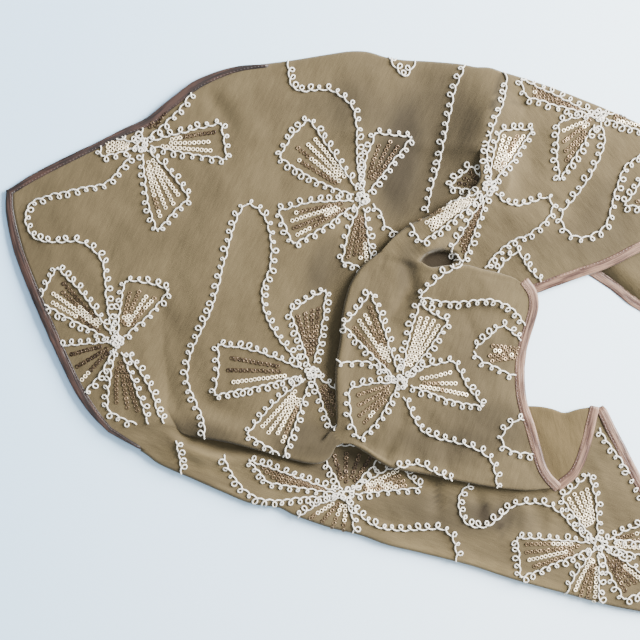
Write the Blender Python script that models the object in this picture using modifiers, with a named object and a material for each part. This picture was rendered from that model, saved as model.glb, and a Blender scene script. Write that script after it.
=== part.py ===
"""A triangular headscarf with two tails, bound all round in satin, lying on a table.

Its back corner lies to the left, its crown is flat and its front edge is drawn up into a raised lobe. The lobe
overlaps the crown and the upper tail, and the crown and the lobe overlap the lower tail. Each tail is folded
lengthwise, so that its under layer lies flat on the table. Places are in millimetres from the top left corner
of the layout, x to the right and y down, and a height is that of the cloth's upper face above the table.
"""

import math

import bmesh
import bpy
from mathutils import Vector

MM = 0.001

# Driving dimensions, in millimetres
CLOTH = 1.2
BINDING_WIDTH = 7.6
BINDING_THICK = 2.0
SEAM_GAP = 0.3
FOLD_START_GAP = 0.6
FOLD_REACH = 2.6
FOLD_RETURN = 6.0
ORIGIN_X = 406.5
ORIGIN_Y = 286.0

ROLL_STEPS = 5
UNDER_STEPS = 3
SPAN_SAMPLES = 12

CLOTH_COLOUR = (0.33, 0.26, 0.16, 1.0)
BINDING_COLOUR = (0.42, 0.27, 0.22, 1.0)

# Columns of every line below: x, y, height

# Seam of the binding, from the back corner up to where the top fold begins
CROWN_BACK_UPPER = (
    (15.5, 166.5, 3.4),
    (23.0, 154.0, 3.5),
    (55.0, 139.5, 4.2),
    (104.5, 116.0, 4.2),
    (128.0, 106.0, 4.6),
    (149.0, 90.5, 5.2),
    (168.0, 76.0, 5.4),
    (182.0, 68.5, 5.4),
    (197.0, 62.5, 5.8),
)
CROWN_TOP_FOLD = (
    (197.0, 62.5, 5.8),
    (210.0, 59.5, 6.0),
    (242.0, 55.5, 6.0),
    (283.0, 49.0, 6.5),
    (298.0, 47.0, 7.0),
    (312.0, 47.5, 7.0),
    (327.0, 52.0, 7.0),
    (343.0, 54.5, 7.0),
    (363.0, 55.5, 7.0),
    (391.0, 58.0, 8.0),
    (403.0, 60.5, 8.7),
    (415.0, 61.0, 9.0),
    (425.0, 64.5, 9.0),
)
# Crest between the crown and the upper tail, from the top fold down to where the overlap begins
RIDGE = (
    (425.0, 64.5, 9.0),
    (416.5, 93.5, 12.0),
    (406.5, 129.0, 14.0),
)
# Edge of the crown that runs on under the upper tail and the lobe
CROWN_UNDER_LOBE = (
    (406.5, 129.0, 14.0),
    (408.6, 135.0, 11.0),
    (411.0, 146.0, 9.4),
    (409.0, 163.0, 8.0),
    (398.0, 175.0, 7.2),
    (377.0, 191.0, 7.0),
    (355.0, 206.0, 6.5),
    (335.0, 219.0, 6.5),
    (320.0, 236.0, 6.5),
    (309.0, 256.0, 6.5),
    (303.0, 285.0, 6.5),
    (299.5, 310.0, 6.5),
    (298.5, 330.0, 6.5),
    (297.0, 343.5, 7.0),
    (293.5, 353.0, 8.2),
    (289.0, 361.5, 10.2),
    (284.3, 366.5, 13.0),
)
# Where the crown and the lobe are one stretch of cloth, below the overlap
LOBE_ROOT = (
    (284.3, 366.5, 13.0),
    (285.8, 370.5, 13.0),
    (290.0, 375.5, 13.0),
)
CROWN_BACK_LOWER = (
    (15.5, 166.5, 3.4),
    (12.2, 181.0, 3.4),
    (18.5, 210.0, 3.8),
    (27.0, 233.0, 4.4),
    (44.5, 273.5, 5.0),
    (58.0, 304.0, 4.8),
    (70.5, 329.5, 4.6),
    (83.5, 350.0, 4.8),
    (95.0, 364.0, 5.2),
)
# Where the crown and the lower tail are one stretch of cloth
TAIL_ROOT = (
    (95.0, 364.0, 5.2),
    (116.0, 361.5, 6.6),
    (136.0, 359.0, 8.2),
    (144.0, 360.5, 7.4),
    (151.0, 363.0, 6.0),
)
CROWN_LOWER_FOLD = (
    (151.0, 363.0, 6.0),
    (157.0, 367.5, 7.0),
    (172.0, 369.0, 9.0),
    (197.0, 373.0, 11.0),
    (215.0, 377.5, 12.0),
    (238.0, 384.0, 12.5),
    (256.0, 389.0, 13.0),
    (268.0, 390.5, 13.0),
    (276.5, 388.5, 13.0),
    (281.5, 383.5, 13.0),
    (284.5, 378.5, 13.0),
    (290.0, 375.5, 13.0),
)

LOBE_SIDE_FOLD = (
    (284.3, 366.5, 13.0),
    (287.0, 360.0, 14.0),
    (288.0, 348.5, 14.8),
    (287.8, 337.5, 15.0),
    (287.5, 320.5, 15.0),
    (288.5, 307.0, 15.0),
    (291.5, 289.0, 15.0),
    (292.5, 274.5, 14.8),
    (294.0, 263.5, 14.5),
    (296.8, 252.0, 14.3),
    (300.0, 242.5, 14.2),
    (309.0, 228.5, 14.0),
    (323.0, 215.0, 14.0),
)
# Where the lobe and the upper tail are one stretch of cloth, left of the hollow
LOBE_NECK = (
    (323.0, 215.0, 14.0),
    (340.0, 218.5, 15.0),
    (355.5, 222.5, 15.0),
)
LOBE_TOP_FOLD = (
    (355.5, 222.5, 15.0),
    (365.5, 229.0, 15.2),
    (381.0, 228.5, 15.2),
    (396.0, 228.5, 15.0),
    (409.0, 232.0, 14.5),
    (426.0, 235.5, 13.5),
    (435.0, 237.5, 12.8),
    (442.0, 241.5, 12.2),
)
LOBE_FRONT = (
    (468.0, 413.5, 9.2),
    (462.0, 407.0, 9.2),
    (456.5, 398.0, 9.2),
    (451.5, 382.0, 9.2),
    (445.5, 361.0, 9.2),
    (440.5, 346.0, 9.0),
    (438.0, 331.5, 8.4),
    (437.5, 314.5, 7.8),
    (439.0, 300.0, 7.8),
    (441.5, 288.5, 8.0),
    (446.0, 273.5, 8.6),
    (449.0, 261.0, 9.6),
    (448.0, 250.5, 10.8),
    (442.0, 241.5, 12.2),
)
LOBE_LOWER_FOLD = (
    (290.0, 375.5, 13.0),
    (299.0, 375.5, 13.5),
    (312.0, 381.5, 13.5),
    (323.0, 389.0, 13.3),
    (334.0, 394.5, 13.0),
    (362.0, 399.5, 12.0),
    (396.0, 406.5, 11.0),
    (422.5, 411.0, 10.0),
    (443.5, 413.0, 9.6),
    (459.0, 413.5, 9.2),
    (468.0, 413.5, 9.2),
)

# Overlapping edge of the upper tail, from the end of the ridge down to the neck of the lobe
TAIL_SIDE_FOLD = (
    (406.5, 129.0, 14.0),
    (407.0, 142.0, 14.4),
    (408.0, 153.0, 14.8),
    (403.0, 162.5, 15.2),
    (393.0, 170.0, 15.5),
    (380.0, 177.5, 15.5),
    (365.5, 186.5, 15.5),
    (349.5, 193.5, 15.0),
    (335.0, 203.0, 14.5),
    (323.0, 215.0, 14.0),
)
UPPER_TAIL_TOP_FOLD = (
    (425.0, 64.5, 9.0),
    (443.0, 69.5, 7.0),
    (466.5, 77.0, 6.2),
    (489.5, 86.0, 6.0),
    (513.0, 95.5, 6.0),
    (544.0, 109.5, 6.0),
    (586.5, 132.5, 6.0),
    (637.5, 158.0, 6.0),
    (697.0, 183.0, 5.8),
    (756.5, 203.0, 5.6),
    (789.0, 216.0, 5.4),
)
# Edge of the upper tail that runs on under the lobe
UPPER_TAIL_HIDDEN = (
    (355.5, 222.5, 15.0),
    (361.0, 227.0, 10.6),
    (370.5, 234.0, 7.4),
    (384.0, 240.0, 6.0),
    (404.0, 245.0, 5.6),
    (421.0, 248.5, 5.2),
    (435.0, 249.0, 5.4),
)
UPPER_TAIL_FRONT = (
    (435.0, 249.0, 5.4),
    (452.0, 243.0, 5.8),
    (468.0, 237.0, 5.8),
    (487.5, 230.0, 5.8),
    (507.0, 223.5, 5.8),
    (520.0, 218.0, 5.8),
    (544.0, 206.0, 5.8),
    (578.0, 194.5, 5.8),
    (620.5, 191.0, 5.8),
    (680.0, 197.0, 5.8),
    (739.5, 213.0, 5.6),
    (787.0, 227.0, 5.4),
)
# Edges of the under layers, which lie flat on the table
CROWN_UNDER_EDGE = (
    (214.0, 66.0, 0.0),
    (280.0, 98.0, 0.0),
    (357.0, 143.0, 0.0),
    (425.0, 182.0, 0.0),
)
UPPER_TAIL_UNDER_EDGE = (
    (425.0, 182.0, 0.0),
    (459.0, 200.5, 0.0),
    (489.0, 217.5, 0.0),
    (511.0, 232.0, 0.0),
    (523.5, 240.5, 0.0),
    (544.0, 256.0, 0.0),
    (586.5, 277.0, 0.0),
    (637.5, 285.5, 0.0),
    (697.0, 273.5, 0.0),
    (756.5, 246.0, 0.0),
    (785.0, 228.0, 0.0),
)
LOWER_TAIL_UNDER_EDGE = (
    (119.0, 379.0, 0.0),
    (212.5, 398.0, 0.0),
    (340.0, 418.0, 0.0),
    (476.0, 442.0, 0.0),
    (544.0, 452.0, 0.0),
    (595.0, 476.0, 0.0),
    (654.5, 493.0, 0.0),
    (714.0, 499.0, 0.0),
    (769.0, 496.0, 0.0),
    (804.0, 491.0, 0.0),
)

LOWER_TAIL_FOLD = (
    (95.0, 364.0, 5.2),
    (108.0, 372.5, 5.6),
    (126.5, 384.0, 6.0),
    (136.5, 391.5, 6.0),
    (167.0, 405.0, 6.0),
    (188.5, 414.5, 6.0),
    (214.5, 425.0, 6.0),
    (238.0, 428.5, 6.0),
    (251.0, 435.0, 6.0),
    (281.5, 445.5, 6.0),
    (307.5, 452.0, 6.0),
    (329.5, 460.0, 6.0),
    (357.0, 466.5, 6.0),
    (400.5, 477.5, 6.0),
    (437.5, 489.5, 6.0),
    (478.0, 500.5, 6.0),
    (530.5, 514.0, 6.0),
    (595.0, 522.5, 6.0),
    (654.5, 524.5, 6.0),
    (714.0, 517.5, 5.8),
    (773.5, 505.5, 5.6),
    (807.5, 497.0, 5.4),
)
# Edge of the lower tail under the crown and the lobe, as far as the fold that shows beyond them
LOWER_TAIL_HIDDEN = (
    (151.0, 363.0, 6.0),
    (160.0, 367.0, 3.6),
    (172.0, 366.5, 2.8),
    (197.0, 362.0, 2.4),
    (221.0, 365.0, 2.2),
    (255.0, 371.0, 2.2),
    (276.0, 368.0, 2.2),
    (293.0, 360.0, 2.2),
    (310.0, 364.0, 2.2),
    (331.5, 376.0, 2.2),
    (362.0, 384.0, 2.2),
    (399.5, 388.0, 2.2),
    (424.0, 378.0, 2.4),
    (437.0, 360.0, 2.8),
    (450.0, 349.0, 3.2),
    (460.0, 348.6, 3.2),
)
LOWER_TAIL_UNDER_FOLD = (
    (460.0, 348.6, 3.2),
    (468.5, 350.4, 3.2),
    (479.0, 353.6, 3.2),
    (490.5, 350.9, 3.2),
    (500.5, 349.4, 3.2),
)
LOWER_TAIL_FRONT = (
    (500.5, 349.4, 3.2),
    (511.0, 352.0, 3.8),
    (516.5, 366.5, 4.6),
    (525.0, 384.0, 5.0),
    (534.0, 401.0, 5.4),
    (544.0, 419.0, 5.8),
    (563.0, 440.0, 5.8),
    (595.0, 458.0, 5.8),
    (646.0, 472.0, 5.8),
    (714.0, 480.0, 5.8),
    (769.0, 484.5, 5.6),
    (806.0, 486.0, 5.4),
)

# The stretch that shows between the lobe and the lower tail, with its wrong side up
FOLD_BACK_SOUTH = (
    (406.5, 401.5, 5.8),
    (425.0, 405.0, 5.8),
    (443.0, 407.0, 5.8),
    (462.0, 407.8, 5.8),
    (474.5, 408.0, 5.8),
)
FOLD_BACK_FRONT = (
    (474.5, 408.0, 5.8),
    (483.5, 400.5, 5.8),
    (489.0, 390.5, 5.9),
    (494.0, 375.0, 6.1),
    (498.0, 358.0, 6.4),
    (500.5, 347.5, 6.4),
)
FOLD_BACK_TOP = (
    (416.5, 348.0, 5.6),
    (433.5, 347.0, 5.6),
    (450.0, 346.6, 5.8),
    (460.0, 347.2, 6.4),
    (468.5, 349.0, 6.6),
    (479.0, 352.2, 6.4),
    (490.5, 349.2, 6.6),
    (500.5, 347.5, 6.4),
)
FOLD_BACK_WEST = (
    (406.5, 401.5, 5.8),
    (409.0, 375.0, 5.6),
    (416.5, 348.0, 5.6),
)

# Columns of the relief tables: height of the crest or depth of the trough, width to the left of its route,
# width to the right of its route, route
CROWN_RELIEF = (
    (2.2, 75.0, 75.0, ((120.0, 210.0), (220.0, 230.0))),
    (-1.8, 6.0, 8.0, ((174.0, 74.0), (186.0, 92.0), (198.0, 110.0))),
    (1.4, 12.0, 12.0, ((196.0, 70.0), (214.0, 110.0), (222.0, 150.0))),
    (-1.6, 16.0, 22.0, ((372.0, 80.0), (362.0, 130.0), (340.0, 170.0))),
    (1.6, 20.0, 20.0, ((318.0, 60.0), (312.0, 110.0), (300.0, 150.0))),
    (-1.6, 12.0, 14.0, ((150.0, 340.0), (175.0, 350.0), (215.0, 357.0))),
    (1.5, 22.0, 18.0, ((60.0, 200.0), (90.0, 270.0), (118.0, 320.0))),
)
LOBE_RELIEF = (
    (2.6, 40.0, 40.0, ((350.0, 300.0), (400.0, 330.0))),
    (-2.4, 7.0, 7.0, ((344.0, 226.0), (350.0, 246.0), (341.0, 260.0), (329.0, 275.0))),
    (2.6, 20.0, 5.0, ((356.0, 254.0), (384.0, 257.0), (408.0, 256.0), (425.0, 258.0), (437.0, 268.0))),
    (1.8, 12.0, 12.0, ((330.0, 388.0), (332.0, 360.0), (325.0, 330.0))),
    (-1.4, 8.0, 8.0, ((352.0, 393.0), (357.0, 365.0), (368.0, 345.0))),
)
UPPER_TAIL_RELIEF = (
    (-2.0, 16.0, 16.0, ((432.0, 90.0), (446.0, 130.0), (450.0, 165.0))),
    (1.8, 14.0, 16.0, ((400.0, 172.0), (440.0, 186.0), (480.0, 200.0))),
    (-1.6, 9.0, 12.0, ((372.0, 202.0), (392.0, 208.0), (420.0, 222.0))),
    (1.5, 16.0, 16.0, ((498.0, 110.0), (506.0, 150.0), (500.0, 190.0))),
    (1.2, 14.0, 14.0, ((570.0, 150.0), (640.0, 176.0), (700.0, 192.0))),
)
LOWER_TAIL_RELIEF = (
    (5.4, 4.5, 9.0, ((138.0, 362.0), (146.0, 371.0), (156.0, 379.5), (176.0, 386.5), (198.0, 389.5),
                    (222.0, 389.0), (250.0, 395.0))),
    (-0.8, 14.0, 14.0, ((466.0, 380.0), (486.0, 400.0), (478.0, 424.0))),
    (1.6, 12.0, 10.0, ((260.0, 408.0), (300.0, 424.0), (340.0, 430.0))),
    (-1.4, 6.0, 6.0, ((370.0, 410.0), (371.0, 424.0), (374.0, 436.0))),
    (-1.2, 5.0, 5.0, ((454.0, 432.0), (456.0, 442.0), (460.0, 450.0))),
    (2.0, 12.0, 16.0, ((392.0, 446.0), (430.0, 452.0), (480.0, 466.0), (520.0, 484.0))),
    (1.4, 12.0, 12.0, ((560.0, 478.0), (640.0, 496.0), (720.0, 498.0))),
)
FOLD_BACK_RELIEF = ((0.8, 7.0, 7.0, ((462.0, 366.0), (472.0, 384.0), (476.0, 398.0))),)

# The hidden layers under the lobe, as one rounded heap
HEAP_CENTRE = (371.0, 316.0)
HEAP_HALF_SIZE = (46.0, 38.0)
HEAP_HEIGHT = 12.0
HEAP_RINGS = 5
HEAP_SIDES = 24


def to_part(x, y, z):
    """A place of the layout in the part's own frame, in metres."""
    return Vector(((x - ORIGIN_X) * MM, (ORIGIN_Y - y) * MM, z * MM))


def smooth_line(rows):
    """A smooth curve through the rows, as a function of the share of its length from 0 to 1."""
    points = [Vector(row) for row in rows]
    ends = [2 * points[0] - points[1], *points, 2 * points[-1] - points[-2]]
    samples = []
    for before, start, end, after in zip(ends, ends[1:], ends[2:], ends[3:]):
        into = (end - before) * (end - start).length / max((end - before).length, 1e-9)
        out = (after - start) * (end - start).length / max((after - start).length, 1e-9)
        for step in range(SPAN_SAMPLES):
            t = step / SPAN_SAMPLES
            samples.append(
                start * (2 * t**3 - 3 * t**2 + 1)
                + into * (t**3 - 2 * t**2 + t)
                + end * (3 * t**2 - 2 * t**3)
                + out * (t**3 - t**2)
            )
    samples.append(points[-1])
    lengths = [0.0]
    for first, second in zip(samples, samples[1:]):
        lengths.append(lengths[-1] + (second - first).length)

    def at(share):
        wanted = min(max(share, 0.0), 1.0) * lengths[-1]
        index = 1
        while index < len(lengths) - 1 and lengths[index] < wanted:
            index += 1
        span = lengths[index] - lengths[index - 1]
        along = (wanted - lengths[index - 1]) / max(span, 1e-9)
        return samples[index - 1].lerp(samples[index], along)

    def share_of(row):
        nearest = min(range(len(samples)), key=lambda i: (samples[i] - Vector(row)).length)
        return lengths[nearest] / lengths[-1]

    at.share_of = share_of
    return at


def route_distance(x, y, route):
    """Signed distance of a place from a route, and the share of the route that it lies beside."""
    best = (1e9, 0.0, 1.0)
    spans = list(zip(route, route[1:]))
    for index, ((ax, ay), (bx, by)) in enumerate(spans):
        dx, dy = bx - ax, by - ay
        along = ((x - ax) * dx + (y - ay) * dy) / (dx * dx + dy * dy)
        along = min(max(along, 0.0), 1.0)
        px, py = ax + along * dx, ay + along * dy
        distance = math.hypot(x - px, y - py)
        if distance < best[0]:
            side = 1.0 if dx * (y - ay) - dy * (x - ax) > 0 else -1.0
            best = (distance, (index + along) / len(spans), side)
    return best


def relief_at(x, y, table):
    """Height that the crests and troughs of a table add at a place."""
    total = 0.0
    for height, left, right, route in table:
        distance, share, side = route_distance(x, y, route)
        width = right if side > 0 else left
        fade = math.sin(math.pi * min(max(share, 0.12), 0.88))
        total += height * fade * math.exp(-((distance / width) ** 2))
    return total


def edge_fade(u, v):
    """Brings a relief to nothing at the sides of a panel."""
    nearest = min(u, 1 - u, v, 1 - v) / 0.1
    t = min(max(nearest, 0.0), 1.0)
    return t * t * (3 - 2 * t)


def side_of(*stretches):
    """The points of a panel's side, from its stretches: the rows of each, and how many spans it is cut into."""
    points = []
    for rows, spans in stretches:
        line = smooth_line(rows)
        points += [line(step / spans) for step in range(1 if points else 0, spans + 1)]
    return points


class Panel:
    """A stretch of the cloth: a grid between four sides, with its folds rolled under."""

    def __init__(self, name, south, north, west, east, relief, fade=1):
        self.name = name
        self.fade = fade
        self.south, self.north, self.west, self.east = south, north, west, east
        self.relief = relief
        self.columns, self.rows = len(south) - 1, len(west) - 1
        self.mesh = bmesh.new()
        bmesh.ops.create_grid(self.mesh, x_segments=self.columns, y_segments=self.rows, size=0.5)
        self.at_cell = {}
        for vert in self.mesh.verts:
            column = round((vert.co.x + 0.5) * self.columns)
            row = round((vert.co.y + 0.5) * self.rows)
            self.at_cell[column, row] = vert
            vert.co = self.point(column, row)

    def point(self, column, row):
        """A place on the middle of the cloth, between the four sides."""
        u, v = column / self.columns, row / self.rows
        west_bow = self.west[row] - self.south[0].lerp(self.north[0], v)
        east_bow = self.east[row] - self.south[-1].lerp(self.north[-1], v)
        between = self.south[column].lerp(self.north[column], v)
        between += west_bow * (1 - u) ** self.fade + east_bow * u**self.fade
        raised = relief_at(between.x, between.y, self.relief) * edge_fade(u, v)
        return Vector((between.x, between.y, between.z - CLOTH / 2 + raised))

    def side(self, name):
        """The grid's points along one side, from west to east or from south to north."""
        if name in ("south", "north"):
            row = 0 if name == "south" else self.rows
            return [self.at_cell[i, row] for i in range(self.columns + 1)]
        column = 0 if name == "west" else self.columns
        return [self.at_cell[column, j] for j in range(self.rows + 1)]

    def outward(self, name, index):
        """The level direction out of the cloth at one point of a side."""
        chain = self.side(name)
        before = chain[max(index - 1, 0)].co
        after = chain[min(index + 1, len(chain) - 1)].co
        along = after - before
        turn = 1 if name in ("north", "west") else -1
        return Vector((along.y * turn, -along.x * turn, 0)).normalized()

    def extend(self, chain, sections):
        """Grows the panel from a chain of its edge points: a section lists the new points of one of them."""
        for step in range(len(sections[0])):
            edges = [
                edge
                for first, second in zip(chain, chain[1:])
                for edge in first.link_edges
                if edge.other_vert(first) == second
            ]
            made = bmesh.ops.extrude_edge_only(self.mesh, edges=edges)["geom"]
            new = {item for item in made if isinstance(item, bmesh.types.BMVert)}
            following = []
            for vert in chain:
                copies = (edge.other_vert(vert) for edge in vert.link_edges)
                following.append(next(copy for copy in copies if copy in new))
            for vert, section in zip(following, sections):
                vert.co = section[step]
            chain = following

    def roll_under(self, name, first, last, deepest, floor, ramp=3):
        """Rolls a side under from one of its points to another, over what lies below this floor height."""
        chain = self.side(name)
        sections = []
        for index in range(first, last + 1):
            full = min(1.0, (min(index - first, last - index) + 1) / ramp)
            edge = chain[index].co
            drop = min(deepest, edge.z - floor) * full
            outward = self.outward(name, index)
            sections.append(rolled(edge, outward, drop, FOLD_REACH * full, FOLD_RETURN * full))
        self.extend(chain[first : last + 1], sections)

    def fold_to_table(self, name, first, under):
        """Rolls a side down to the table, with an under layer that reaches this line."""
        chain = self.side(name)[first:]
        target = smooth_line(under)
        sections = []
        for step, vert in enumerate(chain):
            outward = self.outward(name, first + step)
            sections.append(folded_under(vert.co, outward, target(step / (len(chain) - 1))))
        self.extend(chain, sections)
        return [section[-1] for section in sections]

    def shrink(self, name, first=0, last=None, gap=SEAM_GAP / 2):
        """Draws part of a side back, by half of the gap that parts two panels or by another gap."""
        chain = self.side(name)
        last = len(chain) - 1 if last is None else last
        outward = [self.outward(name, index) for index in range(len(chain))]
        for index in range(first, last + 1):
            chain[index].co -= outward[index] * gap

    def bound_edge(self, name, first=0, last=None):
        """The places and outward directions that a binding follows."""
        chain = self.side(name)
        last = len(chain) - 1 if last is None else last
        return [(chain[i].co.copy(), self.outward(name, i)) for i in range(first, last + 1)]

    def build(self, collection, material):
        """Gives the panel its thickness and its place in the part."""
        for vert in self.mesh.verts:
            vert.co = to_part(*vert.co)
        bmesh.ops.recalc_face_normals(self.mesh, faces=self.mesh.faces)
        sheet = add_object(self.name, self.mesh, collection, material)
        wall = sheet.modifiers.new("wall", "SOLIDIFY")
        wall.thickness = CLOTH * MM
        wall.offset = 0


def add_object(name, mesh, collection, material):
    data = bpy.data.meshes.new(name)
    mesh.to_mesh(data)
    mesh.free()
    data.materials.append(material)
    data.shade_smooth()
    made = bpy.data.objects.new(name, data)
    collection.objects.link(made)
    return made


def rolled(edge, outward, drop, reach, back):
    """Section of a fold: half an ellipse out and down from the edge, then level under the cloth."""
    section = []
    for step in range(1, ROLL_STEPS + 1):
        angle = math.pi * step / ROLL_STEPS
        out = outward * reach * math.sin(angle)
        section.append(edge + out - Vector((0, 0, drop * (1 - math.cos(angle)) / 2)))
    for step in range(1, 3):
        section.append(section[ROLL_STEPS - 1] - outward * back * step / 2)
    return section


def folded_under(edge, outward, target):
    """Section of a tail's fold: rolled down to the table, then level to the edge of the under layer."""
    level = CLOTH / 2
    section = rolled(edge, outward, edge.z - level, FOLD_REACH, 0)[:ROLL_STEPS]
    start = section[-1]
    end = Vector((target.x, target.y, level))
    return section + [start.lerp(end, step / UNDER_STEPS) for step in range(1, UNDER_STEPS + 1)]


def crown():
    """The flat back of the scarf, from its back corner to under the lobe."""
    panel = Panel(
        "crown",
        south=side_of((TAIL_ROOT, 12), (CROWN_LOWER_FOLD, 16)),
        north=side_of((CROWN_BACK_UPPER, 14), (CROWN_TOP_FOLD, 14)),
        west=side_of((CROWN_BACK_LOWER[::-1], 22)),
        east=side_of((LOBE_ROOT[::-1], 2), (CROWN_UNDER_LOBE[::-1], 16), (RIDGE[::-1], 4)),
        relief=CROWN_RELIEF,
    )
    panel.shrink("south", 0, 12)
    panel.shrink("east")
    # The points where two folds part stand further back
    panel.shrink("south", 12, 13, FOLD_START_GAP)
    panel.shrink("east", 2, 2, FOLD_START_GAP)
    panel.shrink("east", 18, 18, FOLD_START_GAP)
    panel.fold_to_table("north", 14, CROWN_UNDER_EDGE)
    panel.roll_under("south", 13, 27, 6.0, 5.6)
    return panel


def front_lobe():
    """The raised front of the scarf, rolled under on three sides and bound on the fourth."""
    panel = Panel(
        "front_lobe",
        south=side_of((LOBE_LOWER_FOLD, 22)),
        north=side_of((LOBE_NECK, 5), (LOBE_TOP_FOLD, 17)),
        west=side_of((LOBE_ROOT[::-1], 2), (LOBE_SIDE_FOLD, 20)),
        east=side_of((LOBE_FRONT, 22)),
        relief=LOBE_RELIEF,
    )
    panel.shrink("west", 0, 2)
    panel.shrink("north", 0, 5)
    panel.roll_under("west", 3, 21, 6.2, 7.9)
    panel.roll_under("south", 1, 21, 6.0, 6.9)
    panel.roll_under("north", 6, 21, 6.0, 6.6, ramp=5)
    return panel


def upper_tail():
    """The tail to the upper right, folded lengthwise along its upper edge."""
    panel = Panel(
        "upper_tail",
        south=side_of((LOBE_NECK, 5), (UPPER_TAIL_HIDDEN, 6), (UPPER_TAIL_FRONT, 23)),
        north=side_of((UPPER_TAIL_TOP_FOLD[:3], 9), (UPPER_TAIL_TOP_FOLD[2:], 25)),
        west=side_of((TAIL_SIDE_FOLD[::-1], 8), (RIDGE[::-1], 4)),
        east=side_of(((UPPER_TAIL_FRONT[-1], UPPER_TAIL_TOP_FOLD[-1]), 12)),
        relief=UPPER_TAIL_RELIEF,
    )
    panel.shrink("south", 0, 5)
    panel.shrink("west", 8, 12)
    under = panel.fold_to_table("north", 1, UPPER_TAIL_UNDER_EDGE)
    panel.roll_under("west", 1, 7, 6.2, 8.6)
    places = []
    for before, place, after in zip(under[6:], under[7:], under[8:]):
        along = after - before
        places.append((place, Vector((-along.y, along.x, 0)).normalized()))
    return panel, places


def lower_tail():
    """The tail to the lower right, folded lengthwise along its lower edge."""
    panel = Panel(
        "lower_tail",
        south=side_of((LOWER_TAIL_FOLD, 48)),
        north=side_of((LOWER_TAIL_HIDDEN, 22), (LOWER_TAIL_UNDER_FOLD, 4), (LOWER_TAIL_FRONT, 22)),
        west=side_of((TAIL_ROOT, 12)),
        east=side_of(((LOWER_TAIL_FOLD[-1], LOWER_TAIL_FRONT[-1]), 12)),
        relief=LOWER_TAIL_RELIEF,
        fade=10,
    )
    panel.shrink("west")
    panel.fold_to_table("south", 2, LOWER_TAIL_UNDER_EDGE)
    return panel


def fold_back():
    """The stretch between the lobe and the lower tail, wrong side up and rolled down at its top."""
    panel = Panel(
        "fold_back",
        south=side_of((FOLD_BACK_SOUTH, 12)),
        north=side_of((FOLD_BACK_TOP, 12)),
        west=side_of((FOLD_BACK_WEST, 10)),
        east=side_of((FOLD_BACK_FRONT, 10)),
        relief=FOLD_BACK_RELIEF,
    )
    chain = panel.side("north")
    sections = []
    for index, vert in enumerate(chain):
        outward = panel.outward("north", index)
        sections.append(rolled(vert.co, outward, 1.5, 1.2, 0)[: ROLL_STEPS - 1])
    panel.extend(chain, sections)
    return panel


def binding(name, places, widths, collection, material, thick=BINDING_THICK):
    """A folded satin strip along an edge: an oval section, one span for each span of the cloth."""
    half = thick / 2
    oval = (
        (0.0, 0.75 * half),
        (0.2, half),
        (0.75, half),
        (1.0, 0.35 * half),
        (1.0, -0.35 * half),
        (0.75, -half),
        (0.2, -half),
        (0.0, -0.75 * half),
    )
    sides, spans = len(oval), len(places) - 1
    mesh = bmesh.new()
    bmesh.ops.create_grid(mesh, x_segments=spans, y_segments=sides, size=0.5)
    for vert in mesh.verts:
        index = round((vert.co.x + 0.5) * spans)
        across, up = oval[round((vert.co.y + 0.5) * sides) % sides]
        edge, outward = places[index]
        share = index / spans * (len(widths) - 1)
        before = min(int(share), len(widths) - 2)
        width = widths[before] + (widths[before + 1] - widths[before]) * (share - before)
        place = edge + outward * (SEAM_GAP + across * width)
        vert.co = to_part(place.x, place.y, place.z + up)
    bmesh.ops.remove_doubles(mesh, verts=mesh.verts, dist=1e-6)
    ends = [edge for edge in mesh.edges if edge.is_boundary]
    bmesh.ops.holes_fill(mesh, edges=ends, sides=0)
    bmesh.ops.recalc_face_normals(mesh, faces=mesh.faces)
    add_object(name, mesh, collection, material)


def inner_folds(collection, material):
    """The hidden layers under the lobe: one rounded heap with a flat bottom, layered at its edge."""
    profile = (
        (1.0, 0.0),
        (1.0, 1.4),
        (0.94, 2.6),
        (0.93, 3.8),
        (0.86, 5.4),
        (0.84, 6.6),
        (0.72, 8.6),
        (0.5, 10.8),
        (0.25, 11.8),
        (0.0, HEAP_HEIGHT),
    )
    mesh = bmesh.new()
    bmesh.ops.create_grid(mesh, x_segments=HEAP_SIDES, y_segments=len(profile) - 1, size=0.5)
    for vert in mesh.verts:
        angle = 2 * math.pi * (vert.co.x + 0.5)
        reach, height = profile[round((vert.co.y + 0.5) * (len(profile) - 1))]
        reach *= 1 + 0.05 * math.cos(3 * angle) + 0.03 * math.sin(5 * angle)
        x = HEAP_CENTRE[0] + HEAP_HALF_SIZE[0] * reach * math.cos(angle)
        y = HEAP_CENTRE[1] + HEAP_HALF_SIZE[1] * reach * math.sin(angle)
        vert.co = to_part(x, y, height)
    bmesh.ops.remove_doubles(mesh, verts=mesh.verts, dist=1e-6)
    bottom = [edge for edge in mesh.edges if edge.is_boundary]
    bmesh.ops.holes_fill(mesh, edges=bottom, sides=0)
    bmesh.ops.recalc_face_normals(mesh, faces=mesh.faces)
    add_object("inner_folds", mesh, collection, material)


def new_material(name, colour, roughness):
    material = bpy.data.materials.new(name)
    material.use_nodes = True
    shader = material.node_tree.nodes["Principled BSDF"]
    shader.inputs["Base Color"].default_value = colour
    shader.inputs["Roughness"].default_value = roughness
    shader.inputs["Metallic"].default_value = 0.0
    return material


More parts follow.
